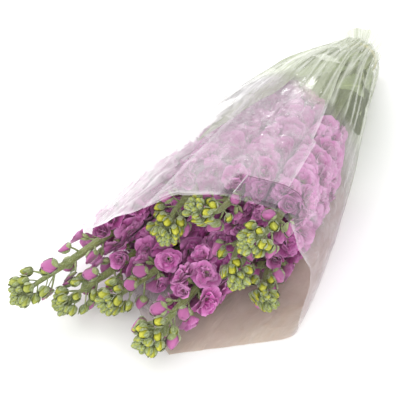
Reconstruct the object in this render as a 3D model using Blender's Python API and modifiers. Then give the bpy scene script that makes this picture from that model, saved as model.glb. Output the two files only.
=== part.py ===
"""A bunch of ten cut stems of double stock, rolled in clear film and lying on its side.

The bunch lies along Y: the flower tips point to -Y and the cut ends to +Y. The surface that it lies on
is z = 0, and the origin is the middle of its footprint. All sizes are in metres.
"""
import math

import bmesh
import bpy
from mathutils import Vector

# Driving dimensions of the wrap. Each row is a cross section: where it is along the bunch, how far it
# reaches to the left and to the right, its highest point and its lowest one.
WRAP_SECTIONS = [
    (-0.225, 0.095, 0.095, 0.112, 0.0000),
    (-0.165, 0.095, 0.095, 0.112, 0.0000),
    (-0.100, 0.093, 0.090, 0.110, 0.0000),
    (-0.020, 0.086, 0.077, 0.104, 0.0000),
    (0.060, 0.074, 0.061, 0.093, 0.0000),
    (0.130, 0.058, 0.045, 0.079, 0.0000),
    (0.190, 0.038, 0.033, 0.062, 0.0000),
    (0.220, 0.028, 0.024, 0.052, 0.0015),
    (0.233, 0.0154, 0.0154, 0.0352, 0.0044),
    (0.237, 0.0150, 0.0150, 0.0348, 0.0048),
    (0.241, 0.0154, 0.0154, 0.0352, 0.0044),
    (0.2515, 0.0280, 0.0180, 0.0580, 0.0000),
]
LEAN = 0.026  # how far the crown of the wrap leans to the right at the mouth
LEAN_WIDTHS = (0.016, 0.095)  # half widths of the wrap where the lean starts and is full
ROUND_FROM = 0.200  # the section turns from a flat-bottomed one at y = 0 to an oval one here
WIDEST_AT = (0.24, 0.50)  # height of the widest line as a share of the whole: flat-bottomed, oval
SIDE_POWER = (0.88, 1.00)  # fullness of the flanks over that line: flat-bottomed, oval
CROWN_POWER = (0.95, 1.00)
UNDERSIDE_POWER = (0.22, 1.00)
UNDERSIDE_PRESS = (1.04, 1.00)  # how much of the underside is pressed flat on the surface
FILM = 0.0003
FLAP_GAP = 0.0009  # from the outside of the flap to the outside of the layer under it
FLAP_EDGE = math.radians(65.0)
FLAP_TWIST = math.radians(16.0)  # how far the flap's edge turns from the mouth to the tie
OVERLAP = math.radians(45.0)
FLAP_RAMP = math.radians(18.0)  # over this angle the under layer goes down beneath the flap's edge
FILM_COLUMNS = 53
FILM_STATIONS = [0.2515, 0.2460, 0.2410, 0.2370, 0.2330, 0.2265, 0.2150, 0.1950, 0.1650, 0.1250, 0.0750,
                 0.0150, -0.0500]
FILM_FORWARD_SHARES = [0.36, 0.70, 1.0]  # of the way from the last station to the cut edge
FRONT_CORNER = (0.0117, -0.2225)  # x and y of the sheet's corner that points forward on the floor
RIGHT_FOLD = (0.0947, -0.1585)
LEFT_FOLD = (-0.0900, -0.1200)
# The cut edge over the flowers: the angle round the bunch in degrees, from its right side over the
# top to its left side, and how far forward the film reaches there.
MOUTH_EDGE = [
    (0, -0.150),
    (20, -0.153),
    (40, -0.160),
    (60, -0.150),
    (85, -0.161),
    (100, -0.172),
    (115, -0.202),
    (128, -0.205),
    (145, -0.182),
    (165, -0.158),
    (180, -0.148),
    (200, -0.126),
]

# Driving dimensions of the stems
CUT_END = 0.2470
CUT_END_SPREAD = 0.0035  # the stalks are cut to slightly unlike lengths
TIE = 0.2370
TIE_HEIGHT = 0.0198
STALK_RADIUS = 0.0032
STALK_TIP_RADIUS = 0.0021
RING_RADIUS = 0.0100  # eight stalks lie in a ring at the tie, and two inside it
CORE_RADIUS = 0.0035
SPREAD_START = 0.222
SPREAD_SCALE = 1.04  # the ring of stalks is this much wider where it starts to spread
HALFWAY = 0.45  # share of the way to the mouth of the stem's straight middle point
BEYOND_CUT = 0.2600
MOUTH = -0.150
HEAD_RADIUS = 0.031
HEAD_FOOT_RADIUS = 0.010
HEAD_TOP_RADIUS = 0.018
HEAD_SWELL = 0.022  # length over which a head swells from its foot
HEAD_TAPER = 0.042  # length over which it narrows to its top
HEAD_KNOBS = 0.13  # how deep the hollows between florets are, as a share of the radius
FLORET_PITCH = 9  # millimetres along the stem between one whorl of florets and the next
BUDS_LENGTH = 0.046
BUDS_RADIUS = 0.0135
BUDS_KNOBS = 0.16
BUDS_TIP = 0.004
GAP = 0.0003
CROWD_GAP = 0.0004  # half the gap between two flower heads that press on each other
FILM_CLEARANCE = 0.0036  # room for leaves between the film's outside and the flowers
FLOOR_CLEARANCE = 0.0008
PAST_FILM = -0.205  # in front of this the flowers lie over the edge of the film

# The stems: slot round the tie in degrees (None for the two inside), place at the mouth (x, z),
# tip (x, y, z), and how far down the stalk its flowers begin.
STEMS = [
    (157.5, (-0.066, 0.038), (-0.0920, -0.2505, 0.034), 0.072),
    (202.5, (-0.046, 0.024), (-0.0670, -0.2340, 0.023), 0.046),
    (247.5, (-0.020, 0.024), (-0.0350, -0.2220, 0.0275), 0.052),
    (292.5, (0.016, 0.025), (0.0095, -0.2440, 0.025), 0.040),
    (337.5, (0.060, 0.027), (0.0840, -0.1700, 0.032), 0.034),
    (22.5, (0.060, 0.078), (0.0540, -0.1740, 0.083), 0.043),
    (67.5, (0.025, 0.088), (0.0120, -0.1800, 0.1075), 0.052),
    (112.5, (-0.010, 0.078), (-0.0010, -0.1850, 0.0735), 0.094),
    (None, (0.038, 0.052), (0.0570, -0.1820, 0.051), 0.050),
    (None, (-0.024, 0.052), (-0.0245, -0.1560, 0.053), 0.080),
]
CORE_SLOTS = {8: 0.0, 9: 180.0}

# The leaves: the stem that each grows from, where its foot is, its length, its greatest width, how
# far it turns round the bunch, and whether it is an upper leaf, which passes under the lower ones.
LEAVES = [
    (0, 0.205, 0.096, 0.017, -4, False),
    (1, 0.203, 0.090, 0.018, 4, False),
    (2, 0.206, 0.086, 0.016, -6, False),
    (3, 0.204, 0.092, 0.017, 6, False),
    (4, 0.203, 0.088, 0.018, 0, False),
    (5, 0.205, 0.094, 0.018, 4, False),
    (6, 0.207, 0.092, 0.017, 0, False),
    (7, 0.204, 0.092, 0.018, 6, False),
    (0, 0.168, 0.150, 0.019, 6, True),
    (7, 0.166, 0.256, 0.020, 8, True),
    (6, 0.160, 0.110, 0.018, 20, True),
    (5, 0.158, 0.104, 0.018, 20, True),
    (4, 0.160, 0.100, 0.017, 16, True),
    (1, 0.164, 0.120, 0.018, -4, True),
]
LEAF_THICKNESS = 0.0006
LEAF_DEPTH = 0.0020  # from the film's outside to the outer face of a leaf
UPPER_LEAF_DEPTH = 0.0046
UPPER_LEAF_SINKS = (0.078, 0.104)  # where an upper leaf goes down beneath the lower ones
LEAF_ROWS = 9
LEAF_FOOT_WIDTH = 0.0028
LEAF_TIP_WIDTH = 0.0016
LEAF_RISE = 0.030  # the leaves' common axis rises with the wrap by this much
LEAF_RISE_LENGTH = 0.160
LEAF_LEAVES_STALK = 0.34  # share of a leaf's length over which it swings out to the film

# Driving dimensions of the tie and the tape
BAND_INNER = 0.0158
BAND_DEPTH = 0.0020
BAND_WIDTH = 0.0046
TAPE_START = math.radians(54.0)
TAPE_END = math.radians(91.0)
TAPE_FROM_EDGE = 0.004
TAPE_WIDTH = 0.025
TAPE_LIFT = 0.0007


def ease(low, high, value):
    """0 below low, 1 above high, and a smooth step between them."""
    share = min(1.0, max(0.0, (value - low) / (high - low)))
    return share * share * (3.0 - 2.0 * share)


def along(rows, y):
    """The other columns of a table at y, on a smooth curve through its rows that never overshoots."""
    last = len(rows) - 1
    if y <= rows[0][0]:
        return rows[0][1:]
    if y >= rows[last][0]:
        return rows[last][1:]
    before = max(k for k in range(last) if rows[k][0] <= y)
    step = rows[before + 1][0] - rows[before][0]
    share = (y - rows[before][0]) / step

    def secant(low, high, column):
        return (rows[high][column] - rows[low][column]) / (rows[high][0] - rows[low][0])

    def slope(row, column):
        low, high = max(row - 1, 0), min(row + 1, last)
        if low == row or high == row:
            return secant(low, high, column) * step
        behind, ahead = secant(low, row, column), secant(row, high, column)
        if behind * ahead <= 0.0:
            return 0.0
        steepest = 3.0 * min(abs(behind), abs(ahead))
        return math.copysign(min(steepest, abs(secant(low, high, column))), ahead) * step

    values = []
    for column in range(1, len(rows[0])):
        start, end = rows[before][column], rows[before + 1][column]
        leave, arrive = slope(before, column), slope(before + 1, column)
        a = 2.0 * start - 2.0 * end + leave + arrive
        b = 3.0 * end - 3.0 * start - 2.0 * leave - arrive
        values.append(((a * share + b) * share + leave) * share + start)
    return values


def between(pair, share):
    return pair[0] + (pair[1] - pair[0]) * share


def section_of(y, inset):
    """The reach to each side, top, middle height, bottom, roundness and lean of the wrap at y."""
    left, right, top, bottom = along(WRAP_SECTIONS, y)
    left, right, top, bottom = left - inset, right - inset, top - inset, bottom + inset
    roundness = min(1.0, max(0.0, y / ROUND_FROM))
    middle = bottom + between(WIDEST_AT, roundness) * (top - bottom)
    narrow, wide = LEAN_WIDTHS
    lean = LEAN * max(0.0, (left + right) / 2.0 - narrow) / (wide - narrow)
    return left, right, top, middle, bottom, roundness, lean


def wrap_point(y, angle, inset=0.0):
    """A point of the wrap's outside, or inset under it. The underside is flat, with a soft crease."""
    left, right, top, middle, bottom, roundness, lean = section_of(y, inset)
    across, up = math.cos(angle), math.sin(angle)
    reach = right if across > 0.0 else left
    if up >= 0.0:
        x = math.copysign(reach * abs(across) ** between(SIDE_POWER, roundness), across) + lean * up
        z = middle + (top - middle) * up ** between(CROWN_POWER, roundness)
    else:
        power = between(UNDERSIDE_POWER, roundness)
        x = math.copysign(reach * abs(across) ** power, across)
        down = min(1.0, between(UNDERSIDE_PRESS, roundness) * abs(up) ** power)
        z = middle - (middle - bottom) * down
    return Vector((x, y, z))


def is_inside(x, y, z, inset):
    """Whether a point lies inside the wrap's section at y, at least inset from its outside."""
    left, right, top, middle, bottom, roundness, lean = section_of(y, inset)
    if z >= top or z <= bottom:
        return False
    if z >= middle:
        up = ((z - middle) / (top - middle)) ** (1.0 / between(CROWN_POWER, roundness))
        from_crown = x - lean * up
        power = between(SIDE_POWER, roundness)
    else:
        power = between(UNDERSIDE_POWER, roundness)
        depth = (middle - z) / (middle - bottom) / between(UNDERSIDE_PRESS, roundness)
        up = min(1.0, depth) ** (1.0 / power)
        from_crown = x
    reach = right if from_crown > 0.0 else left
    return abs(from_crown) < reach * (1.0 - up * up) ** (power / 2.0)


def room(x, y, z, angle, most, side_inset, floor_inset):
    """How far one can go from a point, in a direction across the bunch, before the film."""
    low, high = 0.0, most
    for _ in range(14):
        reach = (low + high) / 2.0
        at_x, at_z = x + reach * math.cos(angle), z + reach * math.sin(angle)
        inset = between((floor_inset, side_inset), ease(0.010, 0.026, at_z))
        if is_inside(at_x, y, at_z, inset):
            low = reach
        else:
            high = reach
    return low


def stem_rows(number):
    """The stem's course as rows of y, x and z, from its tip to its cut end."""
    slot, (mouth_x, mouth_z), (tip_x, tip_y, tip_z), _ = STEMS[number]
    radius = RING_RADIUS if slot is not None else CORE_RADIUS
    turn = math.radians(slot if slot is not None else CORE_SLOTS[number])
    tie_x, tie_z = radius * math.cos(turn), TIE_HEIGHT + radius * math.sin(turn)
    half_x = between((tie_x, mouth_x), HALFWAY)
    half_z = between((tie_z, mouth_z), HALFWAY)
    half_y = between((SPREAD_START, MOUTH), HALFWAY)
    return [
        (tip_y, tip_x, tip_z),
        (MOUTH, mouth_x, mouth_z),
        (half_y, half_x, half_z),
        (SPREAD_START, tie_x * SPREAD_SCALE, TIE_HEIGHT + (tie_z - TIE_HEIGHT) * SPREAD_SCALE),
        (TIE, tie_x, tie_z),
        (BEYOND_CUT, tie_x, tie_z),
    ]


def stem_at(number, y):
    x, z = along(stem_rows(number), y)
    return Vector((x, y, z))


def stalk_radius(number, y):
    tip_y = STEMS[number][2][1]
    return between((STALK_TIP_RADIUS, STALK_RADIUS), ease(tip_y, 0.15, y))


def crowd_reach(number, y, angle, radius):
    """A flower head's radius in one direction, kept off the other stems' heads and the film."""
    centre = stem_at(number, y)
    for other in range(len(STEMS)):
        if other == number or y < STEMS[other][2][1] - 0.004:
            continue
        offset = stem_at(other, y) - centre
        toward = (offset.x * math.cos(angle) + offset.z * math.sin(angle)) / offset.length
        if toward > 0.0:
            radius = min(radius, (offset.length / 2.0 - CROWD_GAP) / toward)
    if y < PAST_FILM:
        floor_room = (centre.z - FLOOR_CLEARANCE) / max(1e-6, -math.sin(angle))
        return min(radius, floor_room) if math.sin(angle) < 0.0 else radius
    return room(centre.x, y, centre.z, angle, radius, FILM_CLEARANCE, FLOOR_CLEARANCE)


def give_material(thing, colour, roughness, alpha=1.0):
    material = bpy.data.materials.new(thing.name)
    material.use_nodes = True
    shader = material.node_tree.nodes["Principled BSDF"]
    shader.inputs["Base Color"].default_value = (*colour, 1.0)
    shader.inputs["Roughness"].default_value = roughness
    shader.inputs["Metallic"].default_value = 0.0
    shader.inputs["Alpha"].default_value = alpha
    thing.data.materials.clear()
    thing.data.materials.append(material)


def new_mesh_object(name, mesh_data, colour, roughness, alpha=1.0):
    """An object in the bunch's collection with a material of its own."""
    thing = bpy.data.objects.new(name, mesh_data)
    bunch.objects.link(thing)
    give_material(thing, colour, roughness, alpha)
    return thing


def grid_mesh(name, rows):
    """An open sheet through rows of points, one face between each four."""
    work = bmesh.new()
    lines = [[work.verts.new(point) for point in row] for row in rows]
    for first, second in zip(lines, lines[1:]):
        for k in range(len(first) - 1):
            work.faces.new((first[k], first[k + 1], second[k + 1], second[k]))
    bmesh.ops.triangulate(work, faces=work.faces[:])
    data = bpy.data.meshes.new(name)
    work.to_mesh(data)
    work.free()
    return data


def give_thickness(thing, thickness):
    solid = thing.modifiers.new("thickness", "SOLIDIFY")
    solid.thickness = thickness
    solid.offset = -1.0


def flap_edge(y):
    """The angle at which the outer layer's edge lies."""
    return FLAP_EDGE + FLAP_TWIST * ease(MOUTH, TIE, y)


def film_shares(y, count):
    """Angles round the wrap from its inner edge to the flap's edge, evenly spaced on the section."""
    samples = 720
    turn = 2.0 * math.pi
    lengths = [0.0]
    previous = wrap_point(y, -math.pi / 2.0)
    for k in range(1, samples + 1):
        point = wrap_point(y, -math.pi / 2.0 + turn * k / samples)
        lengths.append(lengths[-1] + (point - previous).length)
        previous = point
    whole = lengths[-1]

    def length_at(angle):
        place = (angle + math.pi / 2.0) / turn
        laps = math.floor(place)
        position = (place - laps) * samples
        k = min(int(position), samples - 1)
        return laps * whole + lengths[k] + (lengths[k + 1] - lengths[k]) * (position - k)

    def angle_at(length):
        laps = math.floor(length / whole)
        rest = length - laps * whole
        k = max(i for i in range(samples) if lengths[i] <= rest)
        part = (rest - lengths[k]) / (lengths[k + 1] - lengths[k])
        return -math.pi / 2.0 + turn * (laps + (k + part) / samples)

    edge = flap_edge(y)
    start, end = length_at(edge + OVERLAP), length_at(edge - turn)
    return [angle_at(start + (end - start) * k / (count - 1)) for k in range(count)]


def mouth_y(angle):
    """How far forward the cut edge of the film lies at an angle round the bunch."""
    degrees = math.degrees(angle) % 360.0
    if degrees > MOUTH_EDGE[-1][0]:
        x = wrap_point(RIGHT_FOLD[1], angle).x
        corner = RIGHT_FOLD if x > FRONT_CORNER[0] else LEFT_FOLD
        slope = (corner[1] - FRONT_CORNER[1]) / (corner[0] - FRONT_CORNER[0])
        return FRONT_CORNER[1] + (x - FRONT_CORNER[0]) * slope
    for (low, low_y), (high, high_y) in zip(MOUTH_EDGE, MOUTH_EDGE[1:]):
        if degrees <= high:
            return low_y + (high_y - low_y) * ease(low, high, degrees)
    return MOUTH_EDGE[-1][1]


def build_wrap_film():
    """One sheet rolled round the bunch: it is narrow at the tie, and its flap laps over the right side."""
    places = [[(y, angle) for angle in film_shares(y, FILM_COLUMNS)] for y in FILM_STATIONS]
    at_mouth = film_shares(RIGHT_FOLD[1], FILM_COLUMNS)
    for share in FILM_FORWARD_SHARES:
        forward = [between((FILM_STATIONS[-1], mouth_y(angle)), share) for angle in at_mouth]
        places.append(list(zip(forward, at_mouth)))
    rows = []
    for line in reversed(places):
        row = []
        for y, angle in line:
            edge = flap_edge(y)
            under = ease(edge - FLAP_RAMP, edge, angle)
            row.append(wrap_point(y, angle, FLAP_GAP * under))
        rows.append(row)
    thing = new_mesh_object("wrap_film", grid_mesh("wrap_film", rows), (0.85, 0.84, 0.86), 0.15, 0.3)
    give_thickness(thing, FILM)


def build_closing_tape():
    """A strip of clear tape that holds the flap down on the layer under it, close to the mouth."""
    columns, lines = 9, 3
    rows = []
    for line in reversed(range(lines)):
        row = []
        for k in range(columns):
            angle = between((TAPE_START, TAPE_END), k / (columns - 1))
            y = mouth_y(angle) + TAPE_FROM_EDGE + TAPE_WIDTH * line / (lines - 1)
            row.append(wrap_point(y, angle, -TAPE_LIFT))
        rows.append(row)
    thing = new_mesh_object("closing_tape", grid_mesh("closing_tape", rows), (0.8, 0.78, 0.8), 0.1, 0.3)
    give_thickness(thing, FILM)


def build_rubber_band():
    """The band that ties film and stalks together, just above the cut ends."""
    depth = BAND_DEPTH / 2.0
    bpy.ops.mesh.primitive_torus_add(
        major_radius=BAND_INNER + depth,
        minor_radius=depth,
        major_segments=24,
        minor_segments=6,
        location=(0.0, TIE, TIE_HEIGHT),
        rotation=(math.pi / 2.0, 0.0, 0.0),
    )
    band = bpy.context.object
    band.scale.z = BAND_WIDTH / BAND_DEPTH
    band.name = "rubber_band"
    for collection in list(band.users_collection):
        collection.objects.unlink(band)
    bunch.objects.link(band)
    give_material(band, (0.70, 0.55, 0.25), 0.6)


def build_stalk(number):
    """A round stalk that tapers from its cut end to the foot of its bud cluster."""
    steps = 15
    start = CUT_END + CUT_END_SPREAD * math.sin(2.4 * number)
    end = STEMS[number][2][1] + BUDS_LENGTH
    curve = bpy.data.curves.new(f"stalk_{number + 1:02d}", "CURVE")
    curve.dimensions = "3D"
    curve.bevel_depth = 1.0
    curve.bevel_resolution = 2
    curve.use_fill_caps = True
    spline = curve.splines.new("POLY")
    spline.points.add(steps - 1)
    for k, point in enumerate(spline.points):
        y = start + (end - start) * k / (steps - 1)
        point.co = (*stem_at(number, y), 1.0)
        point.radius = stalk_radius(number, y)
    stalk = bpy.data.objects.new(curve.name, curve)
    bunch.objects.link(stalk)
    give_material(stalk, (0.30, 0.36, 0.13), 0.6)


def ring_of(number, y, radius, count, knobs):
    """A ring of points round a stem, drawn in at every other point to look like packed flowers."""
    centre = stem_at(number, y)
    points = []
    for k in range(count):
        angle = 2.0 * math.pi * k / count
        full = crowd_reach(number, y, angle, radius)
        drawn_in = 1.0 - knobs * ((k // 2 + int(round(y * 1000)) // FLORET_PITCH) % 2)
        points.append(centre + Vector((math.cos(angle), 0.0, math.sin(angle))) * (full * drawn_in))
    return points


def skin_between(work, first, second):
    """Faces between two rings of as many points."""
    count = len(first)
    for k in range(count):
        after = (k + 1) % count
        work.faces.new((first[k], first[after], second[after], second[k]))


def finish_solid(work, name, colour, roughness):
    bmesh.ops.recalc_face_normals(work, faces=work.faces[:])
    bmesh.ops.triangulate(work, faces=work.faces[:])
    data = bpy.data.meshes.new(name)
    work.to_mesh(data)
    work.free()
    return new_mesh_object(name, data, colour, roughness)


def build_flowers(number):
    """The packed double flowers of one stem, as a knobbly sleeve with the stalk running through it."""
    sides, bore_sides, steps, bore_steps = 14, 7, 13, 7
    base = STEMS[number][3]
    top = STEMS[number][2][1] + BUDS_LENGTH + 0.001
    work = bmesh.new()
    outer = []
    for k in range(steps):
        y = base + (top - base) * k / (steps - 1)
        radius = between((HEAD_FOOT_RADIUS, HEAD_RADIUS), 1.0 - ease(base - HEAD_SWELL, base, y))
        radius -= (HEAD_RADIUS - HEAD_TOP_RADIUS) * (1.0 - ease(top, top + HEAD_TAPER, y))
        outer.append([work.verts.new(p) for p in ring_of(number, y, radius, sides, HEAD_KNOBS)])
    bore = []
    for k in range(bore_steps):
        y = base + (top - base) * k / (bore_steps - 1)
        centre = stem_at(number, y)
        radius = (stalk_radius(number, y) + GAP) / math.cos(math.pi / bore_sides) + 0.0001
        ring = []
        for side in range(bore_sides):
            angle = 2.0 * math.pi * side / bore_sides
            ring.append(work.verts.new(centre + Vector((math.cos(angle), 0.0, math.sin(angle))) * radius))
        bore.append(ring)
    for rings in (outer, bore):
        for first, second in zip(rings, rings[1:]):
            skin_between(work, first, second)
    for outside, inside in ((outer[0], bore[0]), (outer[-1], bore[-1])):
        for side in range(bore_sides):
            after = (side + 1) % bore_sides
            far = (2 * side + 2) % sides
            work.faces.new((outside[2 * side], outside[2 * side + 1], inside[side]))
            work.faces.new((outside[2 * side + 1], outside[far], inside[after], inside[side]))
    finish_solid(work, f"flowers_{number + 1:02d}", (0.42, 0.12, 0.36), 0.6)


def build_buds(number):
    """The green bud cluster at the tip of one stem, past the end of the solid stalk."""
    sides, steps = 10, 6
    tip = STEMS[number][2][1]
    course = stem_at(number, tip + BUDS_LENGTH + 0.001) - stem_at(number, tip + BUDS_LENGTH - 0.001)
    tilt = math.hypot(course.x, course.z) / course.y
    base = tip + BUDS_LENGTH - GAP - STALK_TIP_RADIUS * tilt
    work = bmesh.new()
    rings = []
    for k in range(steps):
        share = k / (steps - 1)
        y = between((base, tip + BUDS_TIP), share)
        radius = BUDS_RADIUS * (0.50 + 0.50 * ease(0.0, 0.35, share) - 0.55 * ease(0.60, 1.05, share))
        rings.append([work.verts.new(p) for p in ring_of(number, y, radius, sides, BUDS_KNOBS)])
    for first, second in zip(rings, rings[1:]):
        skin_between(work, first, second)
    foot = work.verts.new(stem_at(number, base))
    point = work.verts.new(stem_at(number, tip))
    for ring, middle in ((rings[0], foot), (rings[-1], point)):
        for k in range(sides):
            work.faces.new((ring[k], ring[(k + 1) % sides], middle))
    finish_solid(work, f"buds_{number + 1:02d}", (0.35, 0.42, 0.10), 0.6)


def build_leaf(order):
    """A lance-shaped leaf: its foot is on the stalk, and its blade lies along the inside of the film."""
    stem, foot_y, length, width, turn, is_upper = LEAVES[order]
    foot = stem_at(stem, foot_y)
    foot_angle = math.atan2(foot.z - TIE_HEIGHT, foot.x)
    from_axis = math.hypot(foot.x, foot.z - TIE_HEIGHT)
    start = from_axis + stalk_radius(stem, foot_y) + GAP + LEAF_THICKNESS
    farthest = 0.2
    rows = []
    for k in range(LEAF_ROWS):
        share = k / (LEAF_ROWS - 1)
        y = foot_y - length * share
        axis_z = TIE_HEIGHT + LEAF_RISE * (1.0 - ease(foot_y - LEAF_RISE_LENGTH, foot_y, y))
        angle = foot_angle + math.radians(turn) * share
        fullness = math.sin(math.pi * share ** 0.85) ** 0.8 if k < LEAF_ROWS - 1 else 0.0
        narrow = LEAF_FOOT_WIDTH if k < LEAF_ROWS - 1 else LEAF_TIP_WIDTH
        half = between((narrow, width), fullness) / 2.0
        depth = between((LEAF_DEPTH, UPPER_LEAF_DEPTH), ease(*UPPER_LEAF_SINKS, y) if is_upper else 0.0)
        middle_reach = room(0.0, y, axis_z, angle, farthest, depth, depth)
        out = ease(0.0, LEAF_LEAVES_STALK, share)
        row = []
        for side in (-1.0, 0.0, 1.0):
            side_angle = angle + side * half / middle_reach
            wall = room(0.0, y, axis_z, side_angle, farthest, depth, depth)
            reach = between((start, wall), out)
            row.append((reach * math.cos(side_angle), y, axis_z + reach * math.sin(side_angle)))
        rows.append(row)
    name = f"leaf_{order + 1:02d}"
    leaf = new_mesh_object(name, grid_mesh(name, rows), (0.24, 0.30, 0.16), 0.65)
    give_thickness(leaf, LEAF_THICKNESS)


for old in list(bpy.data.objects):
    bpy.data.objects.remove(old, do_unlink=True)
bunch = bpy.data.collections.new("stock_bunch")
bpy.context.scene.collection.children.link(bunch)

build_wrap_film()
build_closing_tape()
build_rubber_band()
for stem_number in range(len(STEMS)):
    build_stalk(stem_number)
    build_flowers(stem_number)
    build_buds(stem_number)
for leaf_order in range(len(LEAVES)):
    build_leaf(leaf_order)
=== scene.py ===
# A bunch of ten cut stems of double stock, rolled in clear film and lying on its side. The flower tips
# point to -Y, the cut ends to +Y, and the surface that the bunch lies on is z = 0. Sizes are in metres.
import bisect
import math
import random

import bpy
import numpy as np
from mathutils import Matrix, Vector, noise
from mathutils.bvhtree import BVHTree


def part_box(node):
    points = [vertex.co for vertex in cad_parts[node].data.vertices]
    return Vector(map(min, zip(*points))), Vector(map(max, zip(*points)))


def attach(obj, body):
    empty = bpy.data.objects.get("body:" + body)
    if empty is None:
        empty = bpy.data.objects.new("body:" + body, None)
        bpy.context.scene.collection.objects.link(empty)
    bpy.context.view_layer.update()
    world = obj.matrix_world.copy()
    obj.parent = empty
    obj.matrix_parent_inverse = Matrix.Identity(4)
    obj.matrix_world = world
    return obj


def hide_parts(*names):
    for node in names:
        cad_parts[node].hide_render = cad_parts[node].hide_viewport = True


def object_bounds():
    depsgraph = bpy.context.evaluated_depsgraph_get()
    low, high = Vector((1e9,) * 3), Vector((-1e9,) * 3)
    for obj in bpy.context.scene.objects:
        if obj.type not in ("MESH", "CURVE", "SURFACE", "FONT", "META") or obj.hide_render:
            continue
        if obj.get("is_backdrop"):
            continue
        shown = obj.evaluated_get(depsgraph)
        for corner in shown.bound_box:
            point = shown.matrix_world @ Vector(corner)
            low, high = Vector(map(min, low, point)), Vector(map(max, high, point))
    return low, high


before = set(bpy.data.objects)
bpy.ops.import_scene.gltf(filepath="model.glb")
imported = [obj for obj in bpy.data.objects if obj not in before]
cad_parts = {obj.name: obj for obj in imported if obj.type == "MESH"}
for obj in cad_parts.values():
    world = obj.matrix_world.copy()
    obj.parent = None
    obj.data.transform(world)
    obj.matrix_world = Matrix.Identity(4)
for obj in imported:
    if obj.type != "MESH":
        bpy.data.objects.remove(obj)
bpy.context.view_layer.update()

# Floor, light and camera
# A white table in a bright studio, with a broad soft light at the upper left, a fill light and a small
# low one beyond the bunch. The camera looks down on the flower tips from the right of the middle line.
AIM = Vector((-0.020, -0.0925, 0.045))
CAMERA_AZIMUTH = math.radians(27.0)
CAMERA_ELEVATION = math.radians(36.0)
CAMERA_DISTANCE = 0.80
CAMERA_LENS = 90.0
FLOOR_SIZE = 6.0
FLOOR_DROP = 0.0005
SKY_LIGHT = 1.08
KEY_PLACE = Vector((-1.05, 0.45, 1.25))
KEY_SIZE = 0.90
KEY_POWER = 8.0
FILL_PLACE = Vector((0.25, -1.35, 0.75))
FILL_SIZE = 1.2
FILL_POWER = 14.0
GLINT_PLACE = Vector((-0.47, 1.40, 0.50))
GLINT_SIZE = 0.10
GLINT_POWER = 0.9


def put(tree, kind, inputs=None, **settings):
    """A node of that kind, with each input set to a value or joined to another node's output."""
    made = tree.nodes.new("ShaderNode" + kind)
    for name, value in settings.items():
        setattr(made, name, value)
    for name, value in (inputs or {}).items():
        if isinstance(value, bpy.types.NodeSocket):
            tree.links.new(value, made.inputs[name])
        else:
            made.inputs[name].default_value = value
    return made


def new_material(name):
    """A material with nodes, its tree and its shader."""
    material = bpy.data.materials.new(name)
    material.use_nodes = True
    return material, material.node_tree, material.node_tree.nodes["Principled BSDF"]


def ramp(tree, factor, stops):
    """A colour that changes with a factor, from (place, colour) stops. One number stands for a grey."""
    made = tree.nodes.new("ShaderNodeValToRGB")
    tree.links.new(factor, made.inputs["Fac"])
    marks = made.color_ramp.elements
    while len(marks) < len(stops):
        marks.new(0.5)
    for mark, (place, colour) in zip(marks, stops):
        mark.position = place
        mark.color = (*colour, 1.0) if isinstance(colour, tuple) else (colour, colour, colour, 1.0)
    return made.outputs["Color"]


def on_object(tree):
    """The place on the object, in its own coordinates."""
    return put(tree, "TexCoord").outputs["Object"]


def speckle(tree, where, scale, detail=2.0):
    """An uneven pattern from 0 to 1. Its spots are smaller at a larger scale."""
    return put(tree, "TexNoise", {"Vector": where, "Scale": scale, "Detail": detail}).outputs["Fac"]


bpy.ops.object.select_all(action="DESELECT")
bpy.ops.mesh.primitive_plane_add(size=FLOOR_SIZE, location=(0.0, 0.0, -FLOOR_DROP))
table_top = bpy.context.object
table_top.name = "table_top"
table_finish, tree, shader = new_material("white_table")
grain = speckle(tree, on_object(tree), 14.0, 3.0)
tree.links.new(ramp(tree, grain, [(0.3, 0.93), (0.7, 0.95)]), shader.inputs["Base Color"])
shader.inputs["Roughness"].default_value = 0.7
shader.inputs["Specular IOR Level"].default_value = 0.2
table_top.data.materials.append(table_finish)
table_top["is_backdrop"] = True

sky = bpy.data.worlds.new("studio")
sky.use_nodes = True
sky.node_tree.nodes["Background"].inputs["Color"].default_value = (1.0, 1.0, 1.0, 1.0)
sky.node_tree.nodes["Background"].inputs["Strength"].default_value = SKY_LIGHT
bpy.context.scene.world = sky


def soft_light(name, place, size, power):
    """A square soft box that points at the bunch."""
    bpy.ops.object.light_add(type="AREA", location=place)
    light = bpy.context.object
    light.name = name
    light.data.shape = "SQUARE"
    light.data.size = size
    light.data.energy = power
    light.rotation_euler = (AIM - place).to_track_quat("-Z", "Y").to_euler()


soft_light("key_light", KEY_PLACE, KEY_SIZE, KEY_POWER)
soft_light("fill_light", FILL_PLACE, FILL_SIZE, FILL_POWER)
soft_light("glint_light", GLINT_PLACE, GLINT_SIZE, GLINT_POWER)

looking = Vector((-math.sin(CAMERA_AZIMUTH) * math.cos(CAMERA_ELEVATION),
                  math.cos(CAMERA_AZIMUTH) * math.cos(CAMERA_ELEVATION),
                  -math.sin(CAMERA_ELEVATION)))
bpy.ops.object.camera_add(location=AIM - looking * CAMERA_DISTANCE,
                          rotation=looking.to_track_quat("-Z", "Y").to_euler())
bpy.context.object.data.lens = CAMERA_LENS
bpy.context.scene.camera = bpy.context.object
bpy.context.scene.view_settings.view_transform = "Standard"

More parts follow.
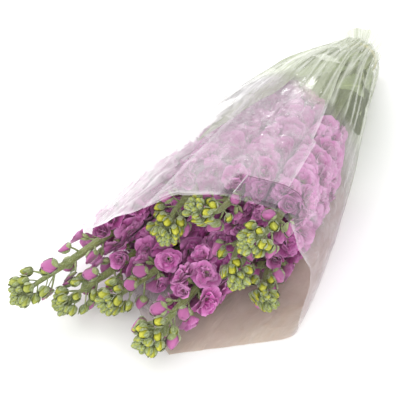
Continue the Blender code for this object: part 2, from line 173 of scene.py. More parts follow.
# Stalks
# Ten round green stalks, finely haired and a little ribbed, cut off square at the narrow end. Eight lie
# in a ring under the tie with two inside it, and they fan out towards the flower tips.
STEMS = [  # slot round the tie in degrees (None inside the ring), x and z at the mouth, tip, flowers' foot
    (157.5, (-0.066, 0.038), (-0.0920, -0.2505, 0.034), 0.072),
    (202.5, (-0.046, 0.024), (-0.0670, -0.2340, 0.023), 0.046),
    (247.5, (-0.020, 0.024), (-0.0350, -0.2220, 0.0275), 0.052),
    (292.5, (0.016, 0.025), (0.0095, -0.2440, 0.025), 0.040),
    (337.5, (0.060, 0.027), (0.0840, -0.1700, 0.032), 0.034),
    (22.5, (0.060, 0.078), (0.0540, -0.1740, 0.083), 0.043),
    (67.5, (0.025, 0.088), (0.0120, -0.1800, 0.1075), 0.052),
    (112.5, (-0.010, 0.078), (-0.0010, -0.1850, 0.0735), 0.094),
    (None, (0.038, 0.052), (0.0570, -0.1820, 0.051), 0.050),
    (None, (-0.024, 0.052), (-0.0245, -0.1560, 0.053), 0.080),
]
CORE_SLOTS = {8: 0.0, 9: 180.0}
TIE = 0.2370
TIE_HEIGHT = 0.0198
MOUTH = -0.150
CUT_END = 0.2470
CUT_END_SPREAD = 0.0035
STALK_RADIUS = 0.0032
STALK_TIP_RADIUS = 0.0026
RING_RADIUS = 0.0100
CORE_RADIUS = 0.0035
SPREAD_START = 0.222
SPREAD_SCALE = 1.04
HALFWAY = 0.45
BEYOND_CUT = 0.2600
BUDS_LENGTH = 0.046
STALK_SIDES = 14
STALK_STEPS = 44
PITH_SHARE = 0.32
END_LEVEL = 1e-4  # the plain rod's cut end lies below this
CUT_END_TURN = 2.4
STALK_TAPER = 0.10
RIBS = 5
RIB_SHARE = 0.05
KNOB_SHARE = 0.05
KNOBS_PER_METRE = 60.0


def ease(low, high, value):
    """0 below low, 1 above high, and a smooth step between them."""
    share = min(1.0, max(0.0, (value - low) / (high - low)))
    return share * share * (3.0 - 2.0 * share)


def between(pair, share):
    return pair[0] + (pair[1] - pair[0]) * share


def along(rows, y):
    """The other columns of a table at y, on a smooth curve through its rows that never overshoots."""
    last = len(rows) - 1
    if y <= rows[0][0]:
        return rows[0][1:]
    if y >= rows[last][0]:
        return rows[last][1:]
    before = max(k for k in range(last) if rows[k][0] <= y)
    step = rows[before + 1][0] - rows[before][0]
    share = (y - rows[before][0]) / step

    def secant(low, high, column):
        return (rows[high][column] - rows[low][column]) / (rows[high][0] - rows[low][0])

    def slope(row, column):
        low, high = max(row - 1, 0), min(row + 1, last)
        if low == row or high == row:
            return secant(low, high, column) * step
        behind, ahead = secant(low, row, column), secant(row, high, column)
        if behind * ahead <= 0.0:
            return 0.0
        steepest = 3.0 * min(abs(behind), abs(ahead))
        return math.copysign(min(steepest, abs(secant(low, high, column))), ahead) * step

    values = []
    for column in range(1, len(rows[0])):
        start, end = rows[before][column], rows[before + 1][column]
        leave, arrive = slope(before, column), slope(before + 1, column)
        a = 2.0 * start - 2.0 * end + leave + arrive
        b = 3.0 * end - 3.0 * start - 2.0 * leave - arrive
        values.append(((a * share + b) * share + leave) * share + start)
    return values


def stem_rows(number):
    """The stem's course as rows of y, x and z, from its tip to its cut end."""
    slot, (mouth_x, mouth_z), (tip_x, tip_y, tip_z), _ = STEMS[number]
    radius = RING_RADIUS if slot is not None else CORE_RADIUS
    turn = math.radians(slot if slot is not None else CORE_SLOTS[number])
    tie_x, tie_z = radius * math.cos(turn), TIE_HEIGHT + radius * math.sin(turn)
    return [
        (tip_y, tip_x, tip_z),
        (MOUTH, mouth_x, mouth_z),
        (between((SPREAD_START, MOUTH), HALFWAY), between((tie_x, mouth_x), HALFWAY),
         between((tie_z, mouth_z), HALFWAY)),
        (SPREAD_START, tie_x * SPREAD_SCALE, TIE_HEIGHT + (tie_z - TIE_HEIGHT) * SPREAD_SCALE),
        (TIE, tie_x, tie_z),
        (BEYOND_CUT, tie_x, tie_z),
    ]


def stem_at(number, y):
    x, z = along(stem_rows(number), y)
    return np.array((x, y, z))


def points_of(thing):
    """The points of an object's mesh, one row each."""
    flat = np.empty(len(thing.data.vertices) * 3)
    thing.data.vertices.foreach_get("co", flat)
    return flat.reshape(-1, 3)


def set_points(thing, points):
    thing.data.vertices.foreach_set("co", np.ascontiguousarray(points, dtype=float).ravel())
    thing.data.update()


def flat_grid(name, columns, rows):
    """A flat square of side 1 round the origin, divided into columns and rows."""
    bpy.ops.object.select_all(action="DESELECT")
    bpy.ops.mesh.primitive_grid_add(x_subdivisions=columns, y_subdivisions=rows, size=1.0)
    made = bpy.context.object
    made.name = name
    return made


def straight_rod(name, sides, steps):
    """A rod of radius 1 from z = 0 to z = 1, rolled from a grid, with its seam and its ends closed."""
    rod = flat_grid(name, sides, steps)
    flat = points_of(rod)
    turn = 2.0 * math.pi * (flat[:, 0] + 0.5)
    set_points(rod, np.stack((np.cos(turn), -np.sin(turn), flat[:, 1] + 0.5), axis=1))
    bpy.ops.object.mode_set(mode="EDIT")
    bpy.ops.mesh.select_all(action="SELECT")
    bpy.ops.mesh.remove_doubles(threshold=0.001)
    bpy.ops.mesh.select_all(action="DESELECT")
    bpy.ops.mesh.select_non_manifold(extend=False)
    bpy.ops.mesh.edge_face_add()
    bpy.ops.mesh.select_all(action="SELECT")
    bpy.ops.mesh.normals_make_consistent(inside=False)
    bpy.ops.object.mode_set(mode="OBJECT")
    bpy.ops.object.shade_smooth_by_angle(angle=math.radians(50.0))
    return rod


def unit(vectors):
    return vectors / np.maximum(np.linalg.norm(vectors, axis=-1, keepdims=True), 1e-12)


def lay_along(rod, places, radii):
    """Lays a straight rod along a line of places, with a radius at each of them."""
    places, radii = np.asarray(places, dtype=float), np.asarray(radii, dtype=float)
    ways = unit(np.gradient(places, axis=0))
    sides = np.empty_like(ways)
    side = np.cross(ways[0], (0.0, 0.0, 1.0) if abs(ways[0][2]) < 0.9 else (1.0, 0.0, 0.0))
    for k, way in enumerate(ways):
        side = unit(side - way * np.dot(side, way))
        sides[k] = side
    ups = np.cross(sides, ways)
    local = points_of(rod)
    position = local[:, 2] * (len(places) - 1)
    low = np.minimum(position.astype(int), len(places) - 2)
    share = (position - low)[:, None]

    def at(rows):
        return rows[low] * (1.0 - share) + rows[low + 1] * share

    radius = at(radii[:, None])
    set_points(rod, at(places) + at(sides) * local[:, :1] * radius - at(ups) * local[:, 1:2] * radius)


def copy_of(thing, name):
    """A copy with its own mesh."""
    made = thing.copy()
    made.data = thing.data.copy()
    made.name = name
    bpy.context.collection.objects.link(made)
    return made


def blend_colours(tree, factor, first, second, how="MIX"):
    """The first colour mixed towards the second."""
    made = put(tree, "Mix", data_type="RGBA", blend_type=how)
    for value, place in ((factor, 0), (first, 6), (second, 7)):
        if isinstance(value, bpy.types.NodeSocket):
            tree.links.new(value, made.inputs[place])
        elif place == 0:
            made.inputs[place].default_value = value
        else:
            made.inputs[place].default_value = (*value, 1.0)
    return made.outputs[2]


def math_node(tree, how, first, second):
    made = put(tree, "Math", operation=how)
    for place, value in enumerate((first, second)):
        if isinstance(value, bpy.types.NodeSocket):
            tree.links.new(value, made.inputs[place])
        else:
            made.inputs[place].default_value = value
    return made.outputs[0]


def plus(tree, first, second):
    return math_node(tree, "ADD", first, second)


def times(tree, first, second):
    return math_node(tree, "MULTIPLY", first, second)


def scaled(tree, where, scale):
    """A place stretched along its axes, for a pattern that runs one way."""
    return put(tree, "Mapping", {"Vector": where, "Scale": scale}).outputs["Vector"]


def add_relief(tree, shader, height, strength, depth):
    """Fine relief from a height that changes over the surface."""
    relief = put(tree, "Bump", {"Height": height, "Strength": strength, "Distance": depth})
    tree.links.new(relief.outputs["Normal"], shader.inputs["Normal"])


# The haired skin that stalks, leaves, pedicels, sepals and buds share: fine fibres along the surface, soft
# pale patches, and a pale bloom of hairs.
haired_skin = bpy.data.node_groups.new("haired_skin", "ShaderNodeTree")
for name, way, kind in (("Dark", "INPUT", "Color"), ("Light", "INPUT", "Color"), ("Bloom", "INPUT", "Float"),
                        ("Color", "OUTPUT", "Color"), ("Height", "OUTPUT", "Float"),
                        ("Roughness", "OUTPUT", "Float")):
    haired_skin.interface.new_socket(name, in_out=way, socket_type="NodeSocket" + kind)
given = haired_skin.nodes.new("NodeGroupInput").outputs
handed = haired_skin.nodes.new("NodeGroupOutput").inputs
where = on_object(haired_skin)
lengthwise = scaled(haired_skin, where, (1.0, 0.22, 1.0))
patches = speckle(haired_skin, where, 190.0, 3.0)
fibres = speckle(haired_skin, lengthwise, 1500.0)
even = ramp(haired_skin, patches, [(0.32, 0.0), (0.68, 1.0)])
skin = blend_colours(haired_skin, even, given["Dark"], given["Light"])
hairs = ramp(haired_skin, fibres, [(0.46, 0.0), (0.66, 1.0)])
bloom = times(haired_skin, hairs, given["Bloom"])
haired_skin.links.new(blend_colours(haired_skin, bloom, skin, (0.56, 0.62, 0.42)), handed["Color"])
haired_skin.links.new(plus(haired_skin, fibres, patches), handed["Height"])
haired_skin.links.new(plus(haired_skin, times(haired_skin, fibres, 0.25), 0.45), handed["Roughness"])


def haired_material(name, dark, light, bloom_amount, sheen):
    """A material with the haired skin in two colours."""
    material, tree, shader = new_material(name)
    group = tree.nodes.new("ShaderNodeGroup")
    group.node_tree = haired_skin
    group.inputs["Dark"].default_value = (*dark, 1.0)
    group.inputs["Light"].default_value = (*light, 1.0)
    group.inputs["Bloom"].default_value = bloom_amount
    tree.links.new(group.outputs["Color"], shader.inputs["Base Color"])
    tree.links.new(group.outputs["Roughness"], shader.inputs["Roughness"])
    add_relief(tree, shader, group.outputs["Height"], 0.35, 0.0004)
    shader.inputs["Sheen Weight"].default_value = sheen
    shader.inputs["Sheen Roughness"].default_value = 0.5
    return material, tree, shader, group


green_stalk = haired_material("green_stalk", (0.150, 0.185, 0.045), (0.250, 0.285, 0.085), 0.40, 0.25)[0]
pale_pith, tree, shader = new_material("pale_pith")
spots = speckle(tree, on_object(tree), 900.0)
tree.links.new(ramp(tree, spots, [(0.35, (0.42, 0.46, 0.26)), (0.65, (0.62, 0.64, 0.42))]),
               shader.inputs["Base Color"])
shader.inputs["Roughness"].default_value = 0.6

plain_rod = straight_rod("plain_rod", STALK_SIDES, STALK_STEPS)
bpy.ops.object.mode_set(mode="EDIT")
bpy.ops.mesh.select_all(action="DESELECT")
bpy.ops.object.mode_set(mode="OBJECT")
for face in plain_rod.data.polygons:
    face.select = face.center.z < END_LEVEL
bpy.ops.object.mode_set(mode="EDIT")
bpy.ops.mesh.inset(thickness=PITH_SHARE, depth=0.0)
bpy.ops.object.mode_set(mode="OBJECT")
plain_rod.data.materials.append(green_stalk)
plain_rod.data.materials.append(pale_pith)
for face in plain_rod.data.polygons:
    face.material_index = 1 if face.center.z < END_LEVEL else 0
rod_points = points_of(plain_rod)
rod_turn = np.arctan2(rod_points[:, 1], rod_points[:, 0])
ribs = 1.0 + RIB_SHARE * np.cos(RIBS * rod_turn)
ribbed = rod_points.copy()
ribbed[:, :2] *= ribs[:, None]
set_points(plain_rod, ribbed)


def stalk_radius(number, y):
    tip_y = STEMS[number][2][1]
    return between((STALK_TIP_RADIUS, STALK_RADIUS), ease(tip_y, tip_y + STALK_TAPER, y))


for number in range(len(STEMS)):
    stalk = copy_of(plain_rod, f"green_stalk_{number + 1:02d}")
    start = CUT_END + CUT_END_SPREAD * math.sin(CUT_END_TURN * number)
    end = STEMS[number][2][1] + BUDS_LENGTH
    places = [stem_at(number, between((start, end), k / STALK_STEPS)) for k in range(STALK_STEPS + 1)]
    knobs = [noise.noise(Vector((number, place[1] * KNOBS_PER_METRE, 0.0))) for place in places]
    radii = [stalk_radius(number, place[1]) * (1.0 + KNOB_SHARE * knob) for place, knob in zip(places, knobs)]
    lay_along(stalk, places, radii)
    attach(stalk, "root")
    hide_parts(f"stalk_{number + 1:02d}")
bpy.data.objects.remove(plain_rod)

# Leaves
# Long velvety grey-green leaves. Each grows from a stalk above the tie and lies between the stalks and
# the film. It has a pale midrib in a shallow groove, side veins and a gently waved edge.
LEAF_COUNT = 14
LEAF_COLUMNS = 10
LEAF_ROWS = 30
LEAF_THICKNESS = 0.0004
LEAF_END_GAP = 0.0006
LEAF_SINK = 0.0001
LEAF_GROOVE = 0.0006
GROOVE_SHARE = 0.10  # half the groove's width, as a share of half the leaf's
CURVED_ON = 0.042  # radius of the wrap that the leaves curve with
WRAP_MIDDLE = 0.04  # height of the middle of the wrap
LEAF_WAVE = 0.0009
LEAF_WAVES = 23.0  # angle that the wave along the edge runs through, in radians
LEAF_WIDER = 1.45
VEIN_TURN = 130.0  # angle that the side veins run through along the leaf, in radians
VEIN_SLANT = 42.0


def cut_through(node, y):
    """The points where a CAD node's edges pass through the plane at y."""
    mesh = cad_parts[node].data
    points = points_of(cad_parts[node])
    edges = np.empty(len(mesh.edges) * 2, dtype=np.int64)
    mesh.edges.foreach_get("vertices", edges)
    first, second = points[edges[0::2]], points[edges[1::2]]
    crossing = (first[:, 1] - y) * (second[:, 1] - y) < 0.0
    first, second = first[crossing], second[crossing]
    share = ((y - first[:, 1]) / (second[:, 1] - first[:, 1]))[:, None]
    return first + (second - first) * share


def own_uv(tree):
    """The place on the piece's own UV map."""
    return put(tree, "UVMap", uv_map="UVMap").outputs["UV"]


def less(tree, first, second):
    return math_node(tree, "SUBTRACT", first, second)


def off_middle(tree, share):
    """How far a share is from a half."""
    return math_node(tree, "ABSOLUTE", less(tree, share, 0.5), 0.0)


velvet_leaf, tree, shader, group = haired_material(
    "velvet_leaf", (0.082, 0.128, 0.022), (0.170, 0.220, 0.052), 0.35, 0.08)
split = put(tree, "SeparateXYZ", {"Vector": own_uv(tree)})
from_rib = off_middle(tree, split.outputs["X"])
rib = ramp(tree, from_rib, [(0.0, 1.0), (0.035, 0.75), (0.07, 0.0)])
slanted = less(tree, times(tree, split.outputs["Y"], VEIN_TURN), times(tree, from_rib, VEIN_SLANT))
side_veins = ramp(tree, math_node(tree, "SINE", slanted, 0.0), [(0.80, 0.0), (1.0, 0.35)])
pale = math_node(tree, "MAXIMUM", rib, side_veins)
veined = blend_colours(tree, pale, group.outputs["Color"], (0.36, 0.42, 0.17))
tree.links.new(veined, shader.inputs["Base Color"])
add_relief(tree, shader, less(tree, group.outputs["Height"], times(tree, pale, 2.0)), 0.4, 0.0005)

leaf_blank = flat_grid("leaf_blank", LEAF_COLUMNS, LEAF_ROWS)
leaf_blank.data.materials.append(velvet_leaf)
blank_points = points_of(leaf_blank)

for order in range(LEAF_COUNT):
    node = f"leaf_{order + 1:02d}"
    low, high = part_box(node)
    middles, sides = [], []
    previous = None
    for row in range(LEAF_ROWS + 1):
        y = between((high[1] - LEAF_END_GAP, low[1] + LEAF_END_GAP), row / LEAF_ROWS)
        section = cut_through(node, y)
        middle = (section.max(axis=0) + section.min(axis=0)) / 2.0
        spread = section - section.mean(axis=0)
        _, _, ways = np.linalg.svd(spread, full_matrices=False)
        way = ways[0] if previous is None or np.dot(ways[0], previous) > 0.0 else -ways[0]
        previous = way
        reach = spread @ way
        middles.append(section.mean(axis=0) + way * (reach.max() + reach.min()) / 2.0)
        sides.append(way * (reach.max() - reach.min()) / 2.0)
    middles, sides = np.array(middles), np.array(sides)
    leaf = copy_of(leaf_blank, f"velvet_leaf_{order + 1:02d}")
    row = np.rint((blank_points[:, 1] + 0.5) * LEAF_ROWS).astype(int)
    across = blank_points[:, 0] * 2.0
    share = row / LEAF_ROWS
    out = unit(np.cross(sides, np.gradient(middles, axis=0)))
    axis_side = middles - np.array((0.0, 0.0, WRAP_MIDDLE))
    out[np.einsum("ij,ij->i", out, axis_side * (1.0, 0.0, 1.0)) < 0.0] *= -1.0
    phase = share * LEAF_WAVES + order * 1.7 + across * 1.2
    wave = LEAF_WAVE * across ** 2 * np.sin(phase) * np.sin(math.pi * share)
    groove = -LEAF_GROOVE * np.exp(-(across / GROOVE_SHARE) ** 2)
    groove *= np.sin(math.pi * np.clip(share * 1.05, 0.0, 1.0))
    spread = sides[row] * (across * (1.0 + (LEAF_WIDER - 1.0) * np.sin(math.pi * share)))[:, None]
    sunk = (np.linalg.norm(spread, axis=1) ** 2) / (2.0 * CURVED_ON)
    points = middles[row] + spread + out[row] * (wave + groove - LEAF_SINK - sunk)[:, None]
    set_points(leaf, points)
    bpy.ops.object.select_all(action="DESELECT")
    leaf.select_set(True)
    bpy.context.view_layer.objects.active = leaf
    skin = leaf.modifiers.new("skin", "SOLIDIFY")
    skin.thickness = LEAF_THICKNESS
    skin.offset = 0.0
    bpy.ops.object.modifier_apply(modifier=skin.name)
    bpy.ops.object.shade_smooth_by_angle(angle=math.radians(60.0))
    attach(leaf, "root")
    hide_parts(node)
bpy.data.objects.remove(leaf_blank)

# Flowers
# Each stem carries a dense spike of double mauve florets on short pedicels: soft ruffled petals in three
# or four whorls over four green sepals. Towards the tip they are half open, then plump pink buds.
PETAL_COLUMNS = 6
PETAL_ROWS = 6
SEPAL_COLUMNS = 3
SEPAL_ROWS = 4
BEND_STEPS = 32
CLAW_WIDTH = 0.20  # a petal's width at its foot, as a share of its whole width
NOTCH = 0.07
PETAL_SIZES = (0.80, 1.14)  # the ranges down to the shades make every petal differ; angles are in degrees
PETAL_WIDTHS = (0.92, 1.08)
LEANS_AT_FOOT = (-13.0, 13.0)
LEANS_AT_RIM = (-26.0, 22.0)
CUPS = (-0.14, 0.14)
RUFFLES = (0.6, 1.5)
SPACINGS = (-0.24, 0.24)
CURLS = (-30.0, 45.0)
TILTS = (-0.65, 0.65)
PETAL_SHADES = (-0.30, 0.35)
SEPALS = 4
CALYX_DEPTH = 0.0055
GOLDEN_TURN = math.radians(137.508)
SLEEVE_OVER = 0.0012
FOOT_PART = 0.016  # behind this the flowers are as broad as here
SLEEVE_ROWS = 64
SLEEVE_SIDES = 36
SOFT_FROM = 0.72
FLOOR_GAP = 0.0005
FAR_OUT = 0.08  # a ray to a stem starts this far from it
ROLLED_PETALS = 4
PEDICEL_STEPS = 6


def bend_petal(petal, length, width, lean_in, lean_out, cup, ruffle, turn, foot, phase, curl, tilt):
    """Shapes a flat petal. It leans from the flower's axis, which is Z, by lean_in at its foot and by
    lean_out at its rim, is cupped and tilted across, waved along its rim, and turned round the axis."""
    flat = petal_blank_points
    across, share = flat[:, 0] * 2.0, flat[:, 1] + 0.5
    over = np.clip(2.0 * share - 1.0, 0.0, 1.0)
    full = CLAW_WIDTH + (1.0 - CLAW_WIDTH) * np.sin(np.clip(share / 0.5, 0.0, 1.0) * math.pi / 2.0) ** 1.2
    half = width / 2.0 * full * np.sqrt(1.0 - over ** 2 / 2.0)
    rim = over * (np.sqrt(1.0 - across ** 2 / 2.0) - NOTCH * over * np.sin(across * 5.0 + 3.0 * phase))
    share = np.where(share > 0.5, 0.5 + 0.5 * rim, share)
    steps = np.linspace(0.0, 1.0, BEND_STEPS + 1)
    rolled_back = curl * np.clip((steps - 0.75) / 0.25, 0.0, 1.0) ** 2
    lean = lean_in + (lean_out - lean_in) * steps ** 1.3 + rolled_back
    out = np.concatenate(((0.0,), np.cumsum(np.sin(lean[1:])))) / BEND_STEPS * length + foot
    up = np.concatenate(((0.0,), np.cumsum(np.cos(lean[1:])))) / BEND_STEPS * length
    radial, rise, tip = (np.interp(share, steps, line) for line in (out, up, lean))
    waves = np.sin(across * 4.2 + phase) + 0.6 * np.sin(across * 8.3 + 2.7 * phase + 1.0)
    lift = (cup * across ** 2 + tilt * across * share) * half + ruffle * share ** 1.6 * waves * length
    lift += ruffle * 0.5 * length * np.sin(share * 5.0 + phase * 1.9) * share
    x = radial - np.cos(tip) * lift
    z = rise + np.sin(tip) * lift
    y = across * half * (1.0 - 0.10 * abs(cup))
    cos, sin = math.cos(turn), math.sin(turn)
    set_points(petal, np.stack((x * cos - y * sin, x * sin + y * cos, z), axis=1))


def set_number(thing, name, value):
    """Stores one number, or one for each point, as an attribute of the mesh."""
    layer = thing.data.attributes.get(name) or thing.data.attributes.new(name, "FLOAT", "POINT")
    values = np.broadcast_to(np.asarray(value, dtype=float), len(thing.data.vertices))
    layer.data.foreach_set("value", values.copy())


def attribute(tree, name):
    return put(tree, "Attribute", attribute_name=name).outputs["Fac"]


def make_smooth(thing):
    thing.data.polygons.foreach_set("use_smooth", [True] * len(thing.data.polygons))


def join_as(name, things):
    """One object made of all the things, in place of them."""
    bpy.ops.object.select_all(action="DESELECT")
    for thing in things:
        thing.select_set(True)
    bpy.context.view_layer.objects.active = things[0]
    bpy.ops.object.join()
    things[0].name = name
    return things[0]


# Petals are palest at the eye and mauve beyond it, with fine veins that run to a lighter rim, and each
# floret has its own tint. Each petal is painted darker towards its foot: painted shade, deep in the floret.
mauve_petal, tree, shader = new_material("mauve_petal")
split = put(tree, "SeparateXYZ", {"Vector": own_uv(tree)})
tint, eye, rolled = attribute(tree, "tint"), attribute(tree, "eye"), attribute(tree, "rolled")
fan = put(tree, "CombineXYZ", {"X": times(tree, split.outputs["X"], 26.0),
                               "Y": times(tree, split.outputs["Y"], 2.2),
                               "Z": times(tree, tint, 40.0)}).outputs["Vector"]
veins = speckle(tree, fan, 1.0, 3.0)
cloud = speckle(tree, on_object(tree), 110.0)
depth = plus(tree, times(tree, veins, 0.55), times(tree, cloud, 0.45))
deep = ramp(tree, depth, [(0.34, (0.350, 0.030, 0.220)), (0.50, (0.510, 0.068, 0.350)),
                          (0.68, (0.640, 0.145, 0.480))])
light = ramp(tree, depth, [(0.34, (0.520, 0.140, 0.400)), (0.50, (0.650, 0.240, 0.530)),
                           (0.68, (0.770, 0.400, 0.660))])
body = blend_colours(tree, plus(tree, tint, attribute(tree, "shade")), deep, light)
# Painted shade: each petal darkens towards its foot, where shade falls deep in the floret.
throat_shade = ramp(tree, split.outputs["Y"], [(0.10, 0.75), (0.55, 0.0)])
body = blend_colours(tree, throat_shade, body, (0.260, 0.025, 0.140))
body = blend_colours(tree, times(tree, rolled, 0.75), body, (0.380, 0.130, 0.275))
rim = ramp(tree, split.outputs["Y"], [(0.0, 0.0), (0.76, 0.08), (1.0, 0.60)])
rim = times(tree, rim, less(tree, 1.0, rolled))
body = blend_colours(tree, rim, body, (0.740, 0.360, 0.650))
claw = ramp(tree, split.outputs["Y"], [(0.0, 1.0), (0.12, 0.75), (0.36, 0.0)])
greenish = times(tree, claw, plus(tree, times(tree, eye, 0.8), 0.1))
tree.links.new(blend_colours(tree, greenish, body, (0.620, 0.660, 0.420)), shader.inputs["Base Color"])
tree.links.new(plus(tree, times(tree, veins, 0.25), 0.42), shader.inputs["Roughness"])
add_relief(tree, shader, veins, 0.35, 0.0004)
shader.inputs["Sheen Weight"].default_value = 0.25
shader.inputs["Sheen Roughness"].default_value = 0.45
shader.inputs["Specular IOR Level"].default_value = 0.3

green_calyx = haired_material("green_calyx", (0.165, 0.215, 0.060), (0.300, 0.345, 0.125), 0.50, 0.30)[0]

petal_blank = flat_grid("petal_blank", PETAL_COLUMNS, PETAL_ROWS)
petal_blank_points = points_of(petal_blank)
sepal_blank = flat_grid("sepal_blank", SEPAL_COLUMNS, SEPAL_ROWS)
sepal_points = points_of(sepal_blank)
for blank in (petal_blank, sepal_blank):
    blank.data.materials.append(mauve_petal)
    blank.data.materials.append(green_calyx)
    make_smooth(blank)
for face in sepal_blank.data.polygons:
    face.material_index = 1


def hug(sepal, length, width, girth, grip, turn, open_by=0.0):
    """Wraps a sepal over an egg-shaped bud that is girth wide. It ends at grip, a share of the bud's
    length, and its tip stands off by open_by."""
    across, share = sepal_points[:, 0] * 2.0, sepal_points[:, 1] + 0.5
    along_bud = share * grip
    egg = np.sin(math.pi * np.clip(along_bud, 0.02, 0.98) ** 0.82) ** 0.62
    radius = girth / 2.0 * egg * 1.06 + 0.00015 + open_by * share ** 3
    point = 1.0 - np.clip((share - 0.55) / 0.45, 0.0, 1.0) ** 1.6 * 0.75
    angle = turn + across * width / 2.0 * (0.65 + 0.35 * np.sin(share * math.pi * 0.8)) * point
    bulge = 0.0003 * (1.0 - across ** 2)
    set_points(sepal, np.stack(((radius + bulge) * np.cos(angle), (radius + bulge) * np.sin(angle),
                                along_bud * length), axis=1))


def raise_by(thing, rise):
    points = points_of(thing)
    points[:, 2] += rise
    set_points(thing, points)


def open_floret(name, seed, whorls):
    """A floret that faces Z: whorls of petals over four green sepals, its receptacle at the origin."""
    draw = random.Random(seed)
    things = []
    for count, length, width, lean_in, lean_out, cup, ruffle, foot, eye_share, rise in whorls:
        first = draw.uniform(0.0, 2.0 * math.pi)
        for k in range(count):
            petal = copy_of(petal_blank, "petal")
            long = length * draw.uniform(*PETAL_SIZES)
            wide = width * draw.uniform(*PETAL_WIDTHS)
            at_foot = math.radians(lean_in + draw.uniform(*LEANS_AT_FOOT))
            at_rim = math.radians(lean_out + draw.uniform(*LEANS_AT_RIM))
            hollow = cup + draw.uniform(*CUPS)
            wavy = ruffle * draw.uniform(*RUFFLES)
            turn = first + 2.0 * math.pi * (k + draw.uniform(*SPACINGS)) / count
            phase = draw.uniform(0.0, 6.3)
            curl = math.radians(draw.uniform(*CURLS))
            tilt = draw.uniform(*TILTS)
            bend_petal(petal, long, wide, at_foot, at_rim, hollow, wavy, turn, foot, phase, curl, tilt)
            raise_by(petal, rise)
            set_number(petal, "eye", eye_share)
            set_number(petal, "shade", draw.uniform(*PETAL_SHADES))
            things.append(petal)
    for k in range(SEPALS):
        sepal = copy_of(sepal_blank, "sepal")
        hug(sepal, 0.0085, 1.5, 0.0052, 0.95, (k + 0.5) * math.pi / 2.0, 0.0022)
        raise_by(sepal, -CALYX_DEPTH)
        set_number(sepal, "eye", 0.0)
        things.append(sepal)
    return join_as(name, things)


FULL_WHORLS = [  # petals, length, width, lean at foot and rim, cup, ruffle, foot radius, eye, height
    (5, 0.0150, 0.0160, 46.0, 98.0, 0.02, 0.070, 0.0016, 0.1, 0.0000),
    (5, 0.0142, 0.0146, 32.0, 78.0, 0.08, 0.075, 0.0015, 0.3, 0.0010),
    (5, 0.0122, 0.0120, 20.0, 60.0, 0.10, 0.085, 0.0014, 0.6, 0.0018),
    (5, 0.0094, 0.0088, 8.0, 36.0, 0.12, 0.100, 0.0012, 1.0, 0.0024),
]
WIDE_WHORLS = [
    (4, 0.0156, 0.0178, 56.0, 104.0, -0.04, 0.075, 0.0016, 0.1, 0.0000),
    (5, 0.0146, 0.0152, 40.0, 88.0, 0.04, 0.080, 0.0015, 0.3, 0.0010),
    (5, 0.0120, 0.0122, 26.0, 70.0, 0.06, 0.090, 0.0014, 0.7, 0.0018),
    (4, 0.0090, 0.0086, 12.0, 46.0, 0.10, 0.105, 0.0012, 1.0, 0.0022),
]
HALF_WHORLS = [
    (4, 0.0138, 0.0150, 34.0, 20.0, 0.52, 0.030, 0.0018, 0.1, 0.0000),
    (4, 0.0126, 0.0128, 22.0, 12.0, 0.50, 0.040, 0.0014, 0.2, 0.0010),
    (4, 0.0108, 0.0096, 10.0, 14.0, 0.30, 0.070, 0.0010, 0.4, 0.0014),
]
full_florets = [open_floret("full_floret_a", 11, FULL_WHORLS), open_floret("full_floret_b", 12, WIDE_WHORLS),
                open_floret("full_floret_c", 13, FULL_WHORLS), open_floret("full_floret_d", 14, WIDE_WHORLS)]
half_florets = [open_floret("half_floret_a", 21, HALF_WHORLS), open_floret("half_floret_b", 22, HALF_WHORLS)]


def egg_core(name, rings, segments, length, girth, material):
    """An egg-shaped body on Z with its foot at the origin, from a sphere."""
    bpy.ops.object.select_all(action="DESELECT")
    bpy.ops.mesh.primitive_uv_sphere_add(segments=segments, ring_count=rings, radius=1.0)
    core = bpy.context.object
    core.name = name
    ball = points_of(core)
    share = (ball[:, 2] + 1.0) / 2.0
    radius = (1.0 + 0.22 * (0.45 - share)) * girth / 2.0
    set_points(core, np.stack((ball[:, 0] * radius, ball[:, 1] * radius, share * length), axis=1))
    core.data.materials.append(material)
    make_smooth(core)
    return core


def pink_bud(name, seed, length, girth, grip):
    """A plump bud: rolled petals that wrap over one another, with four sepals round the foot."""
    draw = random.Random(seed)
    core = egg_core("bud_core", 8, 10, length * 0.94, girth * 0.90, mauve_petal)
    core.data.materials.append(green_calyx)
    set_number(core, "eye", 0.0)
    set_number(core, "rolled", 1.0)
    things = [core]
    for k in range(ROLLED_PETALS):
        wrap = copy_of(petal_blank, "rolled_petal")
        across, share = petal_blank_points[:, 0] + 0.5, petal_blank_points[:, 1] + 0.5
        twist = k * math.pi / 2.0 + draw.uniform(-0.2, 0.2)
        height = share * (1.0 - 0.05 * (2.0 * across - 1.0) ** 2) * (0.99 + 0.02 * draw.random())
        egg = np.sin(math.pi * np.clip(height, 0.03, 0.985) ** 0.86) ** 0.60
        radius = girth / 2.0 * egg * (0.96 + 0.13 * across)
        angle = twist + across * 2.3 + 0.5 * height
        set_points(wrap, np.stack((radius * np.cos(angle), radius * np.sin(angle), height * length), axis=1))
        set_number(wrap, "eye", 0.0)
        set_number(wrap, "rolled", 1.0)
        set_number(wrap, "shade", draw.uniform(-0.15, 0.25))
        things.append(wrap)
    for k in range(SEPALS):
        sepal = copy_of(sepal_blank, "sepal")
        reach = grip * draw.uniform(0.92, 1.08)
        hug(sepal, length, 1.45, girth * 1.06, reach, (k + 0.3) * math.pi / 2.0, 0.0004)
        set_number(sepal, "eye", 0.0)
        things.append(sepal)
    return join_as(name, things)


pink_buds = [pink_bud("pink_bud_a", 31, 0.0128, 0.0098, 0.62),
             pink_bud("pink_bud_b", 32, 0.0118, 0.0088, 0.72)]

pedicel_rod = straight_rod("pedicel_rod", 6, PEDICEL_STEPS)
pedicel_rod.data.materials.append(mauve_petal)
pedicel_rod.data.materials.append(green_calyx)
for face in pedicel_rod.data.polygons:
    face.material_index = 1
set_number(pedicel_rod, "eye", 0.0)


